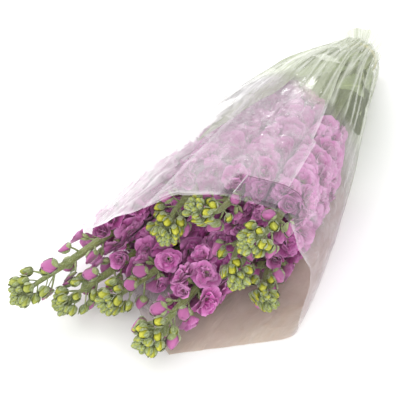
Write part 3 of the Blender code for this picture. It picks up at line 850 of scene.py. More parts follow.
def facing(place, way, spin, size):
    """The placing that turns a thing's Z along a way, spins it round that, scales it and moves it."""
    turned = Vector(way).to_track_quat("Z", "Y").to_matrix().to_4x4()
    return Matrix.Translation(Vector(place)) @ turned @ Matrix.Rotation(spin, 4, "Z") @ Matrix.Scale(size, 4)


def curve_between(start, start_way, end, end_way):
    """Places on a smooth curve that leaves start one way and reaches end another way."""
    reach = np.linalg.norm(end - start)
    places = []
    for t in np.linspace(0.0, 1.0, PEDICEL_STEPS + 1):
        a, b = 2 * t ** 3 - 3 * t ** 2 + 1, t ** 3 - 2 * t ** 2 + t
        c, d = -2 * t ** 3 + 3 * t ** 2, t ** 3 - t ** 2
        places.append(start * a + start_way * reach * b + end * c + end_way * reach * d)
    return places


def sleeve_of(node, number, low, high):
    """How far a CAD solid reaches from its stem's line, over y and over the angle round it."""
    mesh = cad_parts[node].data
    solid = BVHTree.FromPolygons([v.co for v in mesh.vertices], [p.vertices[:] for p in mesh.polygons])
    table = np.zeros((SLEEVE_ROWS + 1, SLEEVE_SIDES + 1))
    for row in range(SLEEVE_ROWS + 1):
        centre = Vector(stem_at(number, between((low, high), row / SLEEVE_ROWS)))
        for side in range(SLEEVE_SIDES + 1):
            angle = 2.0 * math.pi * side / SLEEVE_SIDES
            way = Vector((math.cos(angle), 0.0, math.sin(angle)))
            hit = solid.ray_cast(centre + way * FAR_OUT, -way, FAR_OUT)[0]
            if hit is not None:
                table[row, side] = (hit - centre).length
    return table


def reach_of(points, number, table, low, high):
    """For each point: the stem's line beside it, its way and distance from there, and the solids' reach."""
    places = np.linspace(low, high, SLEEVE_ROWS + 1)
    course = np.array([stem_at(number, y) for y in np.linspace(low - 0.03, high + 0.03, 161)])
    y = points[:, 1]
    x0, z0 = np.interp(y, course[:, 1], course[:, 0]), np.interp(y, course[:, 1], course[:, 2])
    dx, dz = points[:, 0] - x0, points[:, 2] - z0
    radius = np.maximum(np.hypot(dx, dz), 1e-6)
    turn = (np.arctan2(dz, dx) % (2.0 * math.pi)) / (2.0 * math.pi) * SLEEVE_SIDES
    row = np.clip((y - places[0]) / (places[-1] - places[0]), 0.0, 0.9999) * SLEEVE_ROWS
    r0, s0 = row.astype(int), np.minimum(turn.astype(int), SLEEVE_SIDES - 1)
    fr, fs = row - r0, turn - s0
    limit = (table[r0, s0] * (1 - fr) * (1 - fs) + table[r0 + 1, s0] * fr * (1 - fs)
             + table[r0, s0 + 1] * (1 - fr) * fs + table[r0 + 1, s0 + 1] * fr * fs)
    return x0, z0, dx, dz, radius, limit


def keep_within(thing, number, table, low, high, over):
    """Presses a stem's flowers softly into the room that its solids hold, and off the table top."""
    points = points_of(thing)
    x0, z0, dx, dz, radius, limit = reach_of(points, number, table, low, high)
    limit = limit + over
    soft = SOFT_FROM * limit
    pressed = soft + (limit - soft) * (1.0 - np.exp(-(radius - soft) / np.maximum(limit - soft, 1e-6)))
    new = np.where(radius > soft, pressed, radius)
    points[:, 0] = x0 + dx / radius * new
    points[:, 2] = np.maximum(z0 + dz / radius * new, FLOOR_GAP)
    set_points(thing, points)


# Down from the tip: where the buds start, how far apart they are, where half open and open florets start
OPENING = {0: (0.034, 0.0064, 0.082, 0.100), 1: (0.036, 0.0054, 0.062, 0.078),
           2: (0.036, 0.0050, 0.056, 0.072), 3: (0.034, 0.0050, 0.056, 0.072)}
USUAL_OPENING = (0.038, 0.0046, 0.054, 0.070)
BUD_SIZES = (0.92, 1.28)
BUD_REACH = (0.0135, 42.0)  # length of the pedicel, and lean of the flower in degrees
HALF_PITCH = 0.0044
HALF_SIZES = (0.82, 1.05)
HALF_REACH = (0.0130, 50.0)
FULL_PITCH = 0.0047
FULL_SIZES = (0.92, 1.08)
FULL_PEDICEL = 0.0130
FULL_LEANS = (66.0, 96.0)  # in front and at the flowers' foot
FULL_FOOT = 0.030
FULL_GROWTH = (0.84, 1.16)  # size of the youngest and of the oldest open florets
FULL_GROWTH_LENGTH = 0.050
TINTS = {"bud": (0.0, 0.35), "half": (0.35, 0.90), "full": (0.0, 0.75)}
PEDICEL_LEAN = 50.0
PEDICEL_RADII = (0.0009, 0.0007)
RECEPTACLE = 0.0050  # from a floret's middle down to the end of its pedicel


def floret_plan(number):
    """What grows on a stem, from the tip down: kind, place on the stem, size, length of pedicel, lean."""
    draw = random.Random(100 + number)
    tip_y, foot_y = STEMS[number][2][1], STEMS[number][3]
    down, bud_pitch, half_from, full_from = OPENING.get(number, USUAL_OPENING)
    plan = []
    while tip_y + down < foot_y + 0.002:
        if down < half_from:
            plan.append(("bud", down, draw.uniform(*BUD_SIZES), *BUD_REACH))
            down += bud_pitch
        elif down < full_from:
            plan.append(("half", down, draw.uniform(*HALF_SIZES), *HALF_REACH))
            down += HALF_PITCH
        else:
            lean = between(FULL_LEANS, ease(foot_y - FULL_FOOT, foot_y, tip_y + down))
            grown = between(FULL_GROWTH, ease(full_from, full_from + FULL_GROWTH_LENGTH, down))
            plan.append(("full", down, grown * draw.uniform(*FULL_SIZES), FULL_PEDICEL, lean))
            down += FULL_PITCH
    return plan


def ways_at(number, y, turn):
    """A place on a stem, the way to the stem's tip there, and a way out from the stem at an angle."""
    place = stem_at(number, y)
    ahead = unit(stem_at(number, y - 0.004) - stem_at(number, y + 0.004))
    side = unit(np.array((math.cos(turn), 0.0, math.sin(turn))))
    return place, ahead, unit(side - ahead * np.dot(side, ahead))


def leaning(ahead, side, degrees):
    """The way that leans from ahead towards the side."""
    angle = math.radians(degrees)
    return ahead * math.cos(angle) + side * math.sin(angle)


for number in range(len(STEMS)):
    draw = random.Random(200 + number)
    tip_y, foot_y = STEMS[number][2][1], STEMS[number][3]
    turn = draw.uniform(0.0, 6.28)
    things = []
    for kind, down, size, pedicel, lean in floret_plan(number):
        turn += GOLDEN_TURN + draw.uniform(-0.25, 0.25)
        place, ahead, side = ways_at(number, tip_y + down, turn)
        way = leaning(ahead, side, lean + draw.uniform(-9.0, 9.0))
        leaving = leaning(ahead, side, PEDICEL_LEAN)
        base = place + leaving * pedicel
        source = {"bud": pink_buds, "half": half_florets, "full": full_florets}[kind]
        flower = copy_of(source[draw.randrange(len(source))], "flower")
        flower.data.transform(facing(base, way, draw.uniform(0.0, 6.28), size))
        foot = base if kind == "bud" else base - way * RECEPTACLE * size
        rod = copy_of(pedicel_rod, "pedicel")
        radii = np.linspace(*PEDICEL_RADII, PEDICEL_STEPS + 1)
        lay_along(rod, curve_between(place, leaving, foot, way), radii)
        tint = draw.uniform(*TINTS[kind])
        set_number(flower, "tint", tint)
        set_number(rod, "tint", tint)
        things += [flower, rod]
    spike = join_as(f"mauve_florets_{number + 1:02d}", things)
    node = f"flowers_{number + 1:02d}"
    front, back = tip_y + BUDS_LENGTH + 0.003, foot_y - FOOT_PART
    sleeve = sleeve_of(node, number, front, back)
    keep_within(spike, number, sleeve, front, back, SLEEVE_OVER)
    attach(spike, "root")
    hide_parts(node)
for spare in full_florets + half_florets + [petal_blank]:
    bpy.data.objects.remove(spare)

# Bud clusters
# At each tip the stalk ends in a cluster of small haired green buds on thin pedicels. The youngest make a
# tight grey-green dome in the middle, and the older ones stand round it with yellow petal tips.
BUD_PEDICEL_RADII = (0.00055, 0.00050)
BUD_HALF = 0.0045
STUB_STEPS = 14
STUB_TIP_RADIUS = 0.0011

yellow_tip, tree, shader = new_material("yellow_bud_tip")
mottle = speckle(tree, on_object(tree), 650.0, 3.0)
fresh = ramp(tree, mottle, [(0.35, (0.210, 0.255, 0.045)), (0.65, (0.310, 0.355, 0.075))])
golden = ramp(tree, mottle, [(0.35, (0.340, 0.345, 0.020)), (0.65, (0.500, 0.490, 0.038))])
tree.links.new(blend_colours(tree, attribute(tree, "ripe"), fresh, golden), shader.inputs["Base Color"])
tree.links.new(plus(tree, times(tree, mottle, 0.2), 0.45), shader.inputs["Roughness"])
add_relief(tree, shader, mottle, 0.3, 0.0003)
grey_sepal, tree, shader, group = haired_material(
    "grey_sepal", (0.115, 0.155, 0.038), (0.240, 0.285, 0.095), 0.50, 0.30)
split = put(tree, "SeparateXYZ", {"Vector": own_uv(tree)})
edge = ramp(tree, off_middle(tree, split.outputs["X"]), [(0.30, 0.0), (0.5, 0.65)])
edged = blend_colours(tree, edge, group.outputs["Color"], (0.38, 0.42, 0.12))
tree.links.new(edged, shader.inputs["Base Color"])


def green_bud(name, seed, length, girth, grip, gape):
    """A small bud: a yellow core that shows between and beyond four haired sepals."""
    draw = random.Random(seed)
    core = egg_core("bud_core", 7, 8, length * 0.98, girth * 0.92, yellow_tip)
    core.data.materials.append(grey_sepal)
    core.data.materials.append(green_calyx)
    things = [core]
    for k in range(SEPALS):
        sepal = copy_of(sepal_blank, "sepal")
        sepal.data.materials[0] = yellow_tip
        sepal.data.materials[1] = grey_sepal
        reach = grip * draw.uniform(0.95, 1.05)
        turn = (k + draw.uniform(-0.08, 0.08)) * math.pi / 2.0
        hug(sepal, length, 1.42, girth, reach, turn, gape)
        things.append(sepal)
    return join_as(name, things)


open_buds = [green_bud("open_bud_a", 41, 0.0092, 0.0064, 0.86, 0.0013),
             green_bud("open_bud_b", 42, 0.0086, 0.0060, 0.90, 0.0010)]
closed_buds = [green_bud("closed_bud_a", 43, 0.0072, 0.0048, 0.95, 0.0001),
               green_bud("closed_bud_b", 44, 0.0066, 0.0044, 0.97, 0.0)]
pedicel_rod.data.materials[0] = green_calyx
pedicel_rod.data.materials.pop(index=1)
thin_stalk = straight_rod("thin_stalk", 10, STUB_STEPS)
thin_stalk.data.materials.append(green_stalk)

DOME_BUDS = 5
INNER_BUDS = 6
RING_BUDS = 7
LOWER_BUDS = 5
LOWER_BUDS_IN_FULL_SPIKES = 3
RIPENESS = {0: 0.20, 1: 0.40, 2: 0.75}  # the yellow that shows on the least open stems, as a share


def over_at(down):
    """How far buds may stand out past the solids: more at the loose front of the cluster."""
    return np.interp(down, (0.012, 0.030), (0.0068, 0.0024))


def bud_plan(number):
    """The buds of one tip: shape, foot on the stalk, pedicel, lean at the stalk and at the bud, size and
    ripeness. A bud's foot is measured down from the stem's tip."""
    draw = random.Random(300 + number)
    ripest = RIPENESS.get(number, 1.0)
    plan = []
    for k in range(DOME_BUDS):
        share = (k + 0.5) / DOME_BUDS
        down, pedicel = 0.0075 + 0.003 * share, 0.0026 + 0.0026 * share
        plan.append(("closed", down, pedicel, 10.0 + 40.0 * share, 6.0 + 30.0 * share,
                     draw.uniform(0.72, 0.88), 0.1))
    for k in range(INNER_BUDS):
        plan.append(("closed", 0.0125 + 0.0008 * k, draw.uniform(0.0062, 0.0076), 42.0, 28.0,
                     draw.uniform(0.98, 1.18), ripest * draw.uniform(0.3, 0.7)))
    for k in range(RING_BUDS):
        plan.append(("open", 0.0180 + 0.0013 * k, draw.uniform(0.0085, 0.0105), 54.0, 32.0,
                     draw.uniform(0.98, 1.16), ripest * draw.uniform(0.75, 1.0)))
    for k in range(LOWER_BUDS if number in OPENING else LOWER_BUDS_IN_FULL_SPIKES):
        plan.append(("open", 0.0300 + 0.0036 * k, draw.uniform(0.0120, 0.0150), 50.0, 36.0,
                     draw.uniform(1.05, 1.28), ripest * draw.uniform(0.5, 0.9)))
    return plan


for number in range(len(STEMS)):
    draw = random.Random(400 + number)
    tip_y = STEMS[number][2][1]
    turn = draw.uniform(0.0, 6.28)
    front, back = tip_y + 0.005, tip_y + BUDS_LENGTH - 0.001
    stub = copy_of(thin_stalk, "stub")
    ends = (tip_y + BUDS_LENGTH + 0.0002, tip_y + 0.0060)
    places = [stem_at(number, between(ends, k / STUB_STEPS)) for k in range(STUB_STEPS + 1)]
    lay_along(stub, places, np.linspace(STALK_TIP_RADIUS, STUB_TIP_RADIUS, STUB_STEPS + 1))
    set_number(stub, "ripe", 0.0)
    things = [stub]
    node = f"buds_{number + 1:02d}"
    sleeve = sleeve_of(node, number, front, back)
    for kind, down, pedicel, lean_in, lean_out, size, ripeness in bud_plan(number):
        turn += GOLDEN_TURN + draw.uniform(-0.20, 0.20)
        place, ahead, side = ways_at(number, tip_y + down, turn)
        leaving = leaning(ahead, side, lean_in + draw.uniform(-7.0, 7.0))
        way = leaning(ahead, side, lean_out + draw.uniform(-9.0, 9.0))
        base = place + unit(leaving + way) * pedicel
        middle = base + way * (BUD_HALF * size)
        measured = reach_of(middle[None, :], number, sleeve, front, back)
        _, _, dx, dz, radius, limit = (row[0] for row in measured)
        over = max(0.0, radius - (limit + over_at(middle[1] - tip_y) - BUD_HALF * size * 0.6))
        base = base - np.array((dx, 0.0, dz)) / radius * over
        base[2] += max(0.0, BUD_HALF * size * 0.8 - middle[2])
        source = open_buds if kind == "open" else closed_buds
        bud = copy_of(source[draw.randrange(len(source))], "bud")
        bud.data.transform(facing(base, way, draw.uniform(0.0, 6.28), size))
        rod = copy_of(pedicel_rod, "pedicel")
        radii = np.linspace(*BUD_PEDICEL_RADII, PEDICEL_STEPS + 1)
        lay_along(rod, curve_between(place, leaving, base, way), radii)
        set_number(bud, "ripe", ripeness)
        set_number(rod, "ripe", 0.0)
        things += [bud, rod]
    cluster = join_as(f"bud_cluster_{number + 1:02d}", things)
    loose = over_at(points_of(cluster)[:, 1] - tip_y) + 0.001
    keep_within(cluster, number, sleeve, front, back, loose)
    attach(cluster, "root")
    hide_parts(node)
for spare in open_buds + closed_buds + pink_buds + [pedicel_rod, thin_stalk, sepal_blank]:
    bpy.data.objects.remove(spare)

# Film wrap
# One thin sheet of clear film, rolled round the bunch into a cone. Its flap laps over the right side,
# one corner points forward on the table, and at the narrow end the band gathers it into pleats.
WRAP_SECTIONS = [  # along the bunch: y, reach to the left and right, top, bottom
    (-0.225, 0.095, 0.095, 0.112, 0.0000),
    (-0.165, 0.095, 0.095, 0.112, 0.0000),
    (-0.100, 0.093, 0.090, 0.110, 0.0000),
    (-0.020, 0.086, 0.077, 0.104, 0.0000),
    (0.060, 0.074, 0.061, 0.093, 0.0000),
    (0.130, 0.058, 0.045, 0.079, 0.0000),
    (0.190, 0.038, 0.033, 0.062, 0.0000),
    (0.220, 0.028, 0.024, 0.052, 0.0015),
    (0.233, 0.0154, 0.0154, 0.0352, 0.0044),
    (0.237, 0.0150, 0.0150, 0.0348, 0.0048),
    (0.241, 0.0154, 0.0154, 0.0352, 0.0044),
    (0.2515, 0.0280, 0.0180, 0.0580, 0.0000),
]
LEAN = 0.026
LEAN_WIDTHS = (0.016, 0.095)
ROUND_FROM = 0.200
WIDEST_AT = (0.24, 0.50)
SIDE_POWER = (0.88, 1.00)
CROWN_POWER = (0.95, 1.00)
UNDERSIDE_POWER = (0.22, 1.00)
UNDERSIDE_PRESS = (1.04, 1.00)
FLAP_GAP = 0.0009
FLAP_EDGE = math.radians(65.0)
FLAP_TWIST = math.radians(16.0)
FLAP_RAMP = math.radians(18.0)
OVERLAP = math.radians(45.0)
FRONT_CORNER = (0.0117, -0.2225)
RIGHT_FOLD = (0.0947, -0.1585)
LEFT_FOLD = (-0.0900, -0.1200)
MOUTH_EDGE = [  # angle in degrees from the right side over the top to the left, and y of the cut edge
    (0, -0.150), (20, -0.153), (40, -0.160), (60, -0.150), (85, -0.161), (100, -0.172),
    (115, -0.202), (128, -0.206), (145, -0.190), (165, -0.161), (180, -0.148), (200, -0.126),
]
TAIL_END = 0.2515
BODY_END = -0.0500
FILM_COLUMNS = 260
FILM_ROWS = 170
FILM_BODY_ROWS = 112
FILM_MIDDLE = 0.00015
ROW_CROWDING = 1.35  # the rows lie closer together near the tie
SECTION_SAMPLES = 360  # steps in which a section's length is measured


def wrap_point(y, angle, inset=0.0, section=None):
    """A point of the wrap's outside, or inset under it. The underside is flat, with a soft crease."""
    left, right, top, bottom = section or along(WRAP_SECTIONS, y)
    left, right, top, bottom = left - inset, right - inset, top - inset, bottom + inset
    roundness = min(1.0, max(0.0, y / ROUND_FROM))
    middle = bottom + between(WIDEST_AT, roundness) * (top - bottom)
    narrow, wide = LEAN_WIDTHS
    lean = LEAN * max(0.0, (left + right) / 2.0 - narrow) / (wide - narrow)
    across, up = math.cos(angle), math.sin(angle)
    reach = right if across > 0.0 else left
    if up >= 0.0:
        x = math.copysign(reach * abs(across) ** between(SIDE_POWER, roundness), across) + lean * up
        z = middle + (top - middle) * up ** between(CROWN_POWER, roundness)
    else:
        power = between(UNDERSIDE_POWER, roundness)
        x = math.copysign(reach * abs(across) ** power, across)
        down = min(1.0, between(UNDERSIDE_PRESS, roundness) * abs(up) ** power)
        z = middle - (middle - bottom) * down
    return Vector((x, y, z))


def flap_edge(y):
    """The angle at which the outer layer's edge lies."""
    return FLAP_EDGE + FLAP_TWIST * ease(MOUTH, TIE, y)


def film_shares(y, count):
    """Angles round the wrap from its inner edge to the flap's edge, evenly spaced on the section."""
    samples, turn = SECTION_SAMPLES, 2.0 * math.pi
    section = along(WRAP_SECTIONS, y)
    lengths = [0.0]
    previous = wrap_point(y, -math.pi / 2.0, 0.0, section)
    for k in range(1, samples + 1):
        point = wrap_point(y, -math.pi / 2.0 + turn * k / samples, 0.0, section)
        lengths.append(lengths[-1] + (point - previous).length)
        previous = point
    whole = lengths[-1]

    def length_at(angle):
        place = (angle + math.pi / 2.0) / turn
        laps = math.floor(place)
        position = (place - laps) * samples
        k = min(int(position), samples - 1)
        return laps * whole + lengths[k] + (lengths[k + 1] - lengths[k]) * (position - k)

    def angle_at(length):
        laps = math.floor(length / whole)
        rest = length - laps * whole
        k = min(bisect.bisect_right(lengths, rest) - 1, samples - 1)
        part = (rest - lengths[k]) / (lengths[k + 1] - lengths[k])
        return -math.pi / 2.0 + turn * (laps + (k + part) / samples)

    edge = flap_edge(y)
    start, end = length_at(edge + OVERLAP), length_at(edge - turn)
    return [angle_at(start + (end - start) * k / (count - 1)) for k in range(count)]


def mouth_y(angle):
    """How far forward the cut edge of the film lies at an angle round the bunch."""
    degrees = math.degrees(angle) % 360.0
    if degrees > MOUTH_EDGE[-1][0]:
        x = wrap_point(RIGHT_FOLD[1], angle).x
        corner = RIGHT_FOLD if x > FRONT_CORNER[0] else LEFT_FOLD
        slope = (corner[1] - FRONT_CORNER[1]) / (corner[0] - FRONT_CORNER[0])
        return FRONT_CORNER[1] + (x - FRONT_CORNER[0]) * slope
    for (low, low_y), (high, high_y) in zip(MOUTH_EDGE, MOUTH_EDGE[1:]):
        if degrees <= high:
            return low_y + (high_y - low_y) * ease(low, high, degrees)
    return MOUTH_EDGE[-1][1]


# The strip of tape presses the film flat under it, so its place is needed here already.
TAPE_START = math.radians(54.0)
TAPE_END = math.radians(87.0)
TAPE_FROM_EDGE = 0.004
TAPE_WIDTH = 0.025
TAPE_RADIUS = 0.09  # how far the tape lies from the middle of the wrap
PLEATS = [(17, 0.9, 0.00095), (29, 2.2, 0.00080), (47, 4.1, 0.00045)]  # number, turn, depth
RUMPLES = [(0.0013, 14.0, 22.0, 3.0), (0.0009, 42.0, 16.0, 8.0)]  # depth, how close across and along, seed
FLANK_RUMPLE = (0.0011, 70.0, 14.0, 4.0)
LOOSE_WAVE = 0.0011  # the wave of the loose end behind the tie
LOOSE_WAVES = 6.0
RAGGED = 0.0007  # how uneven the cut of the loose end is
# Where the sheet lies on the table it carries a painted shadow, brownish and cloudier; under the left stems
# the shadow fades and the sheet is clearer.
LEFT_SHEET_FROM = -0.035  # the sheet under the left stems is clearer than the rest
LEFT_SHEET_SHARE = 0.15
# These angles also mark where the film is painted paler and cloudier on the left, as painted light.
FLANK = (102.0, 128.0, 140.0, 160.0)  # angles in degrees between which the film is rumpled on the left
GREEN_FROM = (0.036, -0.012)  # behind this the film looks green, on the left and on the right
GREEN_FADE = 0.040
TAIL_DROP = 0.22  # how much lower the film's loose end lies than the solid's, as a share
SAG = 0.010  # how far the film hangs down over the flowers at the mouth's left corner
SAG_ANGLES = (112.0, 145.0, 185.0)


def sharp_wave(turn):
    """A wave with narrow crests and broad hollows, from 0 to 1."""
    return (0.5 + 0.5 * math.cos(turn)) ** 2.6


def flank_share(y, angle):
    """How far a place on the sheet belongs to the rumpled left flank, from 0 to 1."""
    degrees = math.degrees(angle) % 360.0
    share = ease(FLANK[0], FLANK[1], degrees) * (1.0 - ease(FLANK[2], FLANK[3], degrees))
    return share * (1.0 - 0.75 * ease(0.14, 0.22, y))


def past_tie_share(y):
    return ease(TIE + 0.003, TAIL_END, y)


def mouth_sag(y, angle):
    """How far the film hangs below its section beside the mouth's left corner."""
    degrees = math.degrees(angle) % 360.0
    start, deepest, end = SAG_ANGLES
    share = ease(start, deepest, degrees) * (1.0 - ease(deepest, end, degrees))
    return SAG * share * ease(-0.100, -0.170, y)


def rumple(row, y, across):
    depth, close_across, close_along, seed = row
    return depth * noise.noise(Vector((across * close_across, y * close_along, seed)))


def off_tape(y, angle):
    """How far a place on the film is from the strip of tape."""
    round_angle = angle % (2.0 * math.pi)
    beside = max(TAPE_START - round_angle, round_angle - TAPE_END, 0.0) * TAPE_RADIUS
    return beside + max(y - (mouth_y(angle) + TAPE_FROM_EDGE + TAPE_WIDTH), 0.0)


def film_lift(y, angle, across):
    """How far the creased film stands out from its smooth shape. across is the place on the sheet."""
    gathered, past_tie = ease(0.02, 0.215, y), past_tie_share(y)
    lift = 0.0
    for number, turn, depth in PLEATS:
        wander = 2.2 * noise.noise(Vector((across * 5.0, y * 7.0, number)))
        lift += depth * (sharp_wave(2.0 * math.pi * number * across + turn + wander) - 0.35)
    lift *= (0.25 + 1.35 * gathered) * (1.0 - 0.93 * past_tie)
    for row in RUMPLES:
        lift += rumple(row, y, across)
    lift += flank_share(y, angle) * rumple(FLANK_RUMPLE, y, across)
    wander = 5.0 * noise.noise(Vector((across * 9.0, 0.0, 5.0)))
    lift += past_tie * LOOSE_WAVE * math.sin(2.0 * math.pi * LOOSE_WAVES * across + wander)
    at_tie = 1.0 - ease(0.002, 0.006, abs(y - TIE))
    lift *= 1.0 - 0.8 * at_tie
    return lift * ease(0.0, 0.012, off_tape(y, angle))


film_turns = []
for row in range(FILM_BODY_ROWS + 1):
    y = between((TAIL_END, BODY_END), (row / FILM_BODY_ROWS) ** ROW_CROWDING)
    film_turns.append((y, film_shares(y, FILM_COLUMNS + 1)))
mouth_turns = film_shares(RIGHT_FOLD[1], FILM_COLUMNS + 1)
mouth_places = [mouth_y(angle) for angle in mouth_turns]

film = flat_grid("film_wrap", FILM_COLUMNS, FILM_ROWS)
on_table, flank, tail, under_tape = [], [], [], []
for vertex in film.data.vertices:
    column = round((vertex.co.x + 0.5) * FILM_COLUMNS)
    row = round((vertex.co.y + 0.5) * FILM_ROWS)
    if row <= FILM_BODY_ROWS:
        y, turns = film_turns[row]
        angle = turns[column]
    else:
        share = (row - FILM_BODY_ROWS) / (FILM_ROWS - FILM_BODY_ROWS)
        angle = mouth_turns[column]
        y = between((BODY_END, mouth_places[column]), share)
    across = column / FILM_COLUMNS
    edge = flap_edge(y)
    under = ease(edge - FLAP_RAMP, edge, angle)
    middle = wrap_point(y, angle, FILM_MIDDLE + FLAP_GAP * under)
    lift = film_lift(y, angle, across)
    axis = Vector((0.0, y, TIE_HEIGHT + 0.030 * (1.0 - ease(0.05, 0.205, y))))
    outward = (middle - axis).normalized()
    flat = 1.0 - ease(0.0006, 0.0060, middle.z)
    flat *= 1.0 - ease(0.15, 0.20, y)
    rise = abs(lift) * between((0.12, 0.9), 1.0 - ease(-0.185, -0.140, y))
    spot = middle + outward * lift * (1.0 - flat)
    spot.z -= mouth_sag(y, angle)
    spot.z = max(spot.z + rise * flat, FILM_MIDDLE)
    spot.z -= TAIL_DROP * past_tie_share(y) * (spot.z - TIE_HEIGHT)
    ragged = ease(TIE + 0.004, TAIL_END, y) * noise.noise(Vector((across * 31.0, 0.0, 2.0)))
    spot.y += RAGGED * ragged
    vertex.co = spot
    # on_table marks the sheet that lies on the table, where a shadow is painted; it fades towards the left.
    on_table.append(flat * between((LEFT_SHEET_SHARE, 1.0), ease(LEFT_SHEET_FROM, FRONT_CORNER[0], spot.x)))
    # The flank's share also paints light on the film there: paler and cloudier.
    flank.append(flank_share(y, angle))
    green_from = between(GREEN_FROM, ease(-0.02, 0.04, spot.x))
    tail.append(ease(green_from, green_from + GREEN_FADE, y))
    under_tape.append(1.0 - ease(0.0, 0.003, off_tape(y, angle)))
for name, values in (("on_table", on_table), ("flank", flank), ("tail", tail), ("under_tape", under_tape)):
    set_number(film, name, values)
make_smooth(film)
film.data.update()

film_finish, tree, shader = new_material("clear_film")
on_sheet = own_uv(tree)
sized = scaled(tree, on_sheet, (0.70, 0.48, 1.0))
wobble = put(tree, "TexNoise", {"Vector": sized, "Scale": 18.0, "Detail": 3.0}).outputs["Color"]
wobbled = blend_colours(tree, 0.06, sized, wobble, "ADD")
creases = put(tree, "TexVoronoi", {"Vector": scaled(tree, wobbled, (1.0, 0.30, 1.0)), "Scale": 34.0},
              feature="DISTANCE_TO_EDGE").outputs[0]
lengthwise = scaled(tree, wobbled, (1.0, 0.10, 1.0))
streaks = speckle(tree, lengthwise, 120.0, 4.0)
folds = speckle(tree, lengthwise, 46.0)
patches = speckle(tree, sized, 16.0)
gathers = speckle(tree, scaled(tree, sized, (1.0, 0.05, 1.0)), 62.0, 1.0)
narrow, sheet_shadow_mask, flank_light_mask = (attribute(tree, name) for name in ("tail", "on_table", "flank"))
crease_lines = ramp(tree, creases, [(0.0, 1.0), (0.07, 0.25), (0.25, 0.0)])
ridges = ramp(tree, folds, [(0.44, 0.0), (0.50, 1.0), (0.56, 0.0)])
gathers = ramp(tree, gathers, [(0.40, 0.0), (0.50, 1.0), (0.60, 0.0)])
ridges = blend_colours(tree, narrow, ridges, gathers)
streak_highlights = ramp(tree, streaks, [(0.40, 0.0), (0.66, 1.0)])
clear_patches = ramp(tree, patches, [(0.38, 0.35), (0.62, 1.0)])
height = plus(tree, times(tree, ridges, 0.55), times(tree, streaks, 0.9))
height = plus(tree, times(tree, crease_lines, 0.35), height)
flatter = less(tree, 1.0, times(tree, sheet_shadow_mask, 0.75))
add_relief(tree, shader, times(tree, height, flatter), 0.42, 0.0012)

# The film's colour: a mauve haze, whiter along its folds and cut edges as painted highlights, paler on the
# left flank as painted light, green at the narrow end, and brownish where the sheet lies on the table, a
# painted shadow.
# Painted highlights: the haze is whiter along the lengthwise folds.
haze = ramp(tree, streaks, [(0.35, (0.64, 0.56, 0.61)), (0.65, (0.78, 0.71, 0.76))])
# Painted light: the film on the left flank is paler, as where the key light falls on it.
haze = blend_colours(tree, flank_light_mask, haze, (0.72, 0.695, 0.705))
haze = blend_colours(tree, narrow, haze, (0.50, 0.55, 0.36))
# Painted highlights on the pleat ridges at the narrow end.
haze = blend_colours(tree, times(tree, narrow, times(tree, ridges, 0.7)), haze, (0.76, 0.78, 0.70))
edges = put(tree, "SeparateXYZ", {"Vector": on_sheet})
# Painted highlights along the film's cut edges: its side edges and the mouth.
side_edge_highlight = ramp(tree, off_middle(tree, edges.outputs["X"]), [(0.4935, 0.0), (0.4975, 1.0)])
mouth_edge_highlight = ramp(tree, edges.outputs["Y"], [(0.986, 0.0), (0.995, 0.7)])
edge_highlight = math_node(tree, "MAXIMUM", side_edge_highlight, mouth_edge_highlight)
edge_highlight = times(tree, edge_highlight, less(tree, 1.0, math_node(tree, "MAXIMUM", narrow, sheet_shadow_mask)))
haze = blend_colours(tree, edge_highlight, haze, (0.86, 0.82, 0.85))
# Painted shadow: the sheet on the table is brownish and cloudier, for the shade of the bunch over it.
sheet_shadow_colour = ramp(tree, patches, [(0.38, (0.48, 0.35, 0.27)), (0.62, (0.62, 0.49, 0.39))])
tree.links.new(blend_colours(tree, sheet_shadow_mask, haze, sheet_shadow_colour), shader.inputs["Base Color"])

# How cloudy the film is: painted highlights make streaks, creases, ridges and cut edges stand out, painted
# light clouds the left flank, a painted shadow clouds the sheet on the table, the gathered narrow end is
# cloudier with painted highlights on its ridges, and the tape makes it clear.
veil = plus(tree, times(tree, times(tree, streak_highlights, clear_patches), 0.12), 0.21)
flank_glare_veil = times(tree, flank_light_mask, plus(tree, times(tree, streak_highlights, 0.26), 0.34))
gathered_haze_and_ridge_highlight = times(tree, math_node(tree, "POWER", narrow, 3.0), plus(tree, times(tree, ridges, 0.30), 0.02))
for layer in (times(tree, crease_lines, 0.05), times(tree, ridges, 0.07), times(tree, edge_highlight, 0.14), flank_glare_veil,
              times(tree, sheet_shadow_mask, 0.34), gathered_haze_and_ridge_highlight):
    veil = plus(tree, veil, layer)
clearer = less(tree, 1.0, times(tree, attribute(tree, "under_tape"), 0.75))
veil = math_node(tree, "MINIMUM", times(tree, veil, clearer), 0.92)
tree.links.new(veil, shader.inputs["Alpha"])
tree.links.new(plus(tree, times(tree, streaks, 0.25), 0.05), shader.inputs["Roughness"])
film.data.materials.append(film_finish)
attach(film, "root")
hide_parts("wrap_film")


# Tape
# A short strip of clear tape that holds the flap down beside the mouth. Its far end has come loose and
# curls up; a painted highlight makes that end white, and a painted shade line darkens the tape's long edge.
TAPE_LIFT = 0.0007
TAPE_COLUMNS = 36
TAPE_ROWS = 10
TAPE_CURL = 0.0024
TAPE_LOOSE_FROM = 0.92
TAPE_TURNED_BACK = 0.05  # how far the loose end turns back round the wrap, in radians
TAPE_RIPPLE = 0.00025

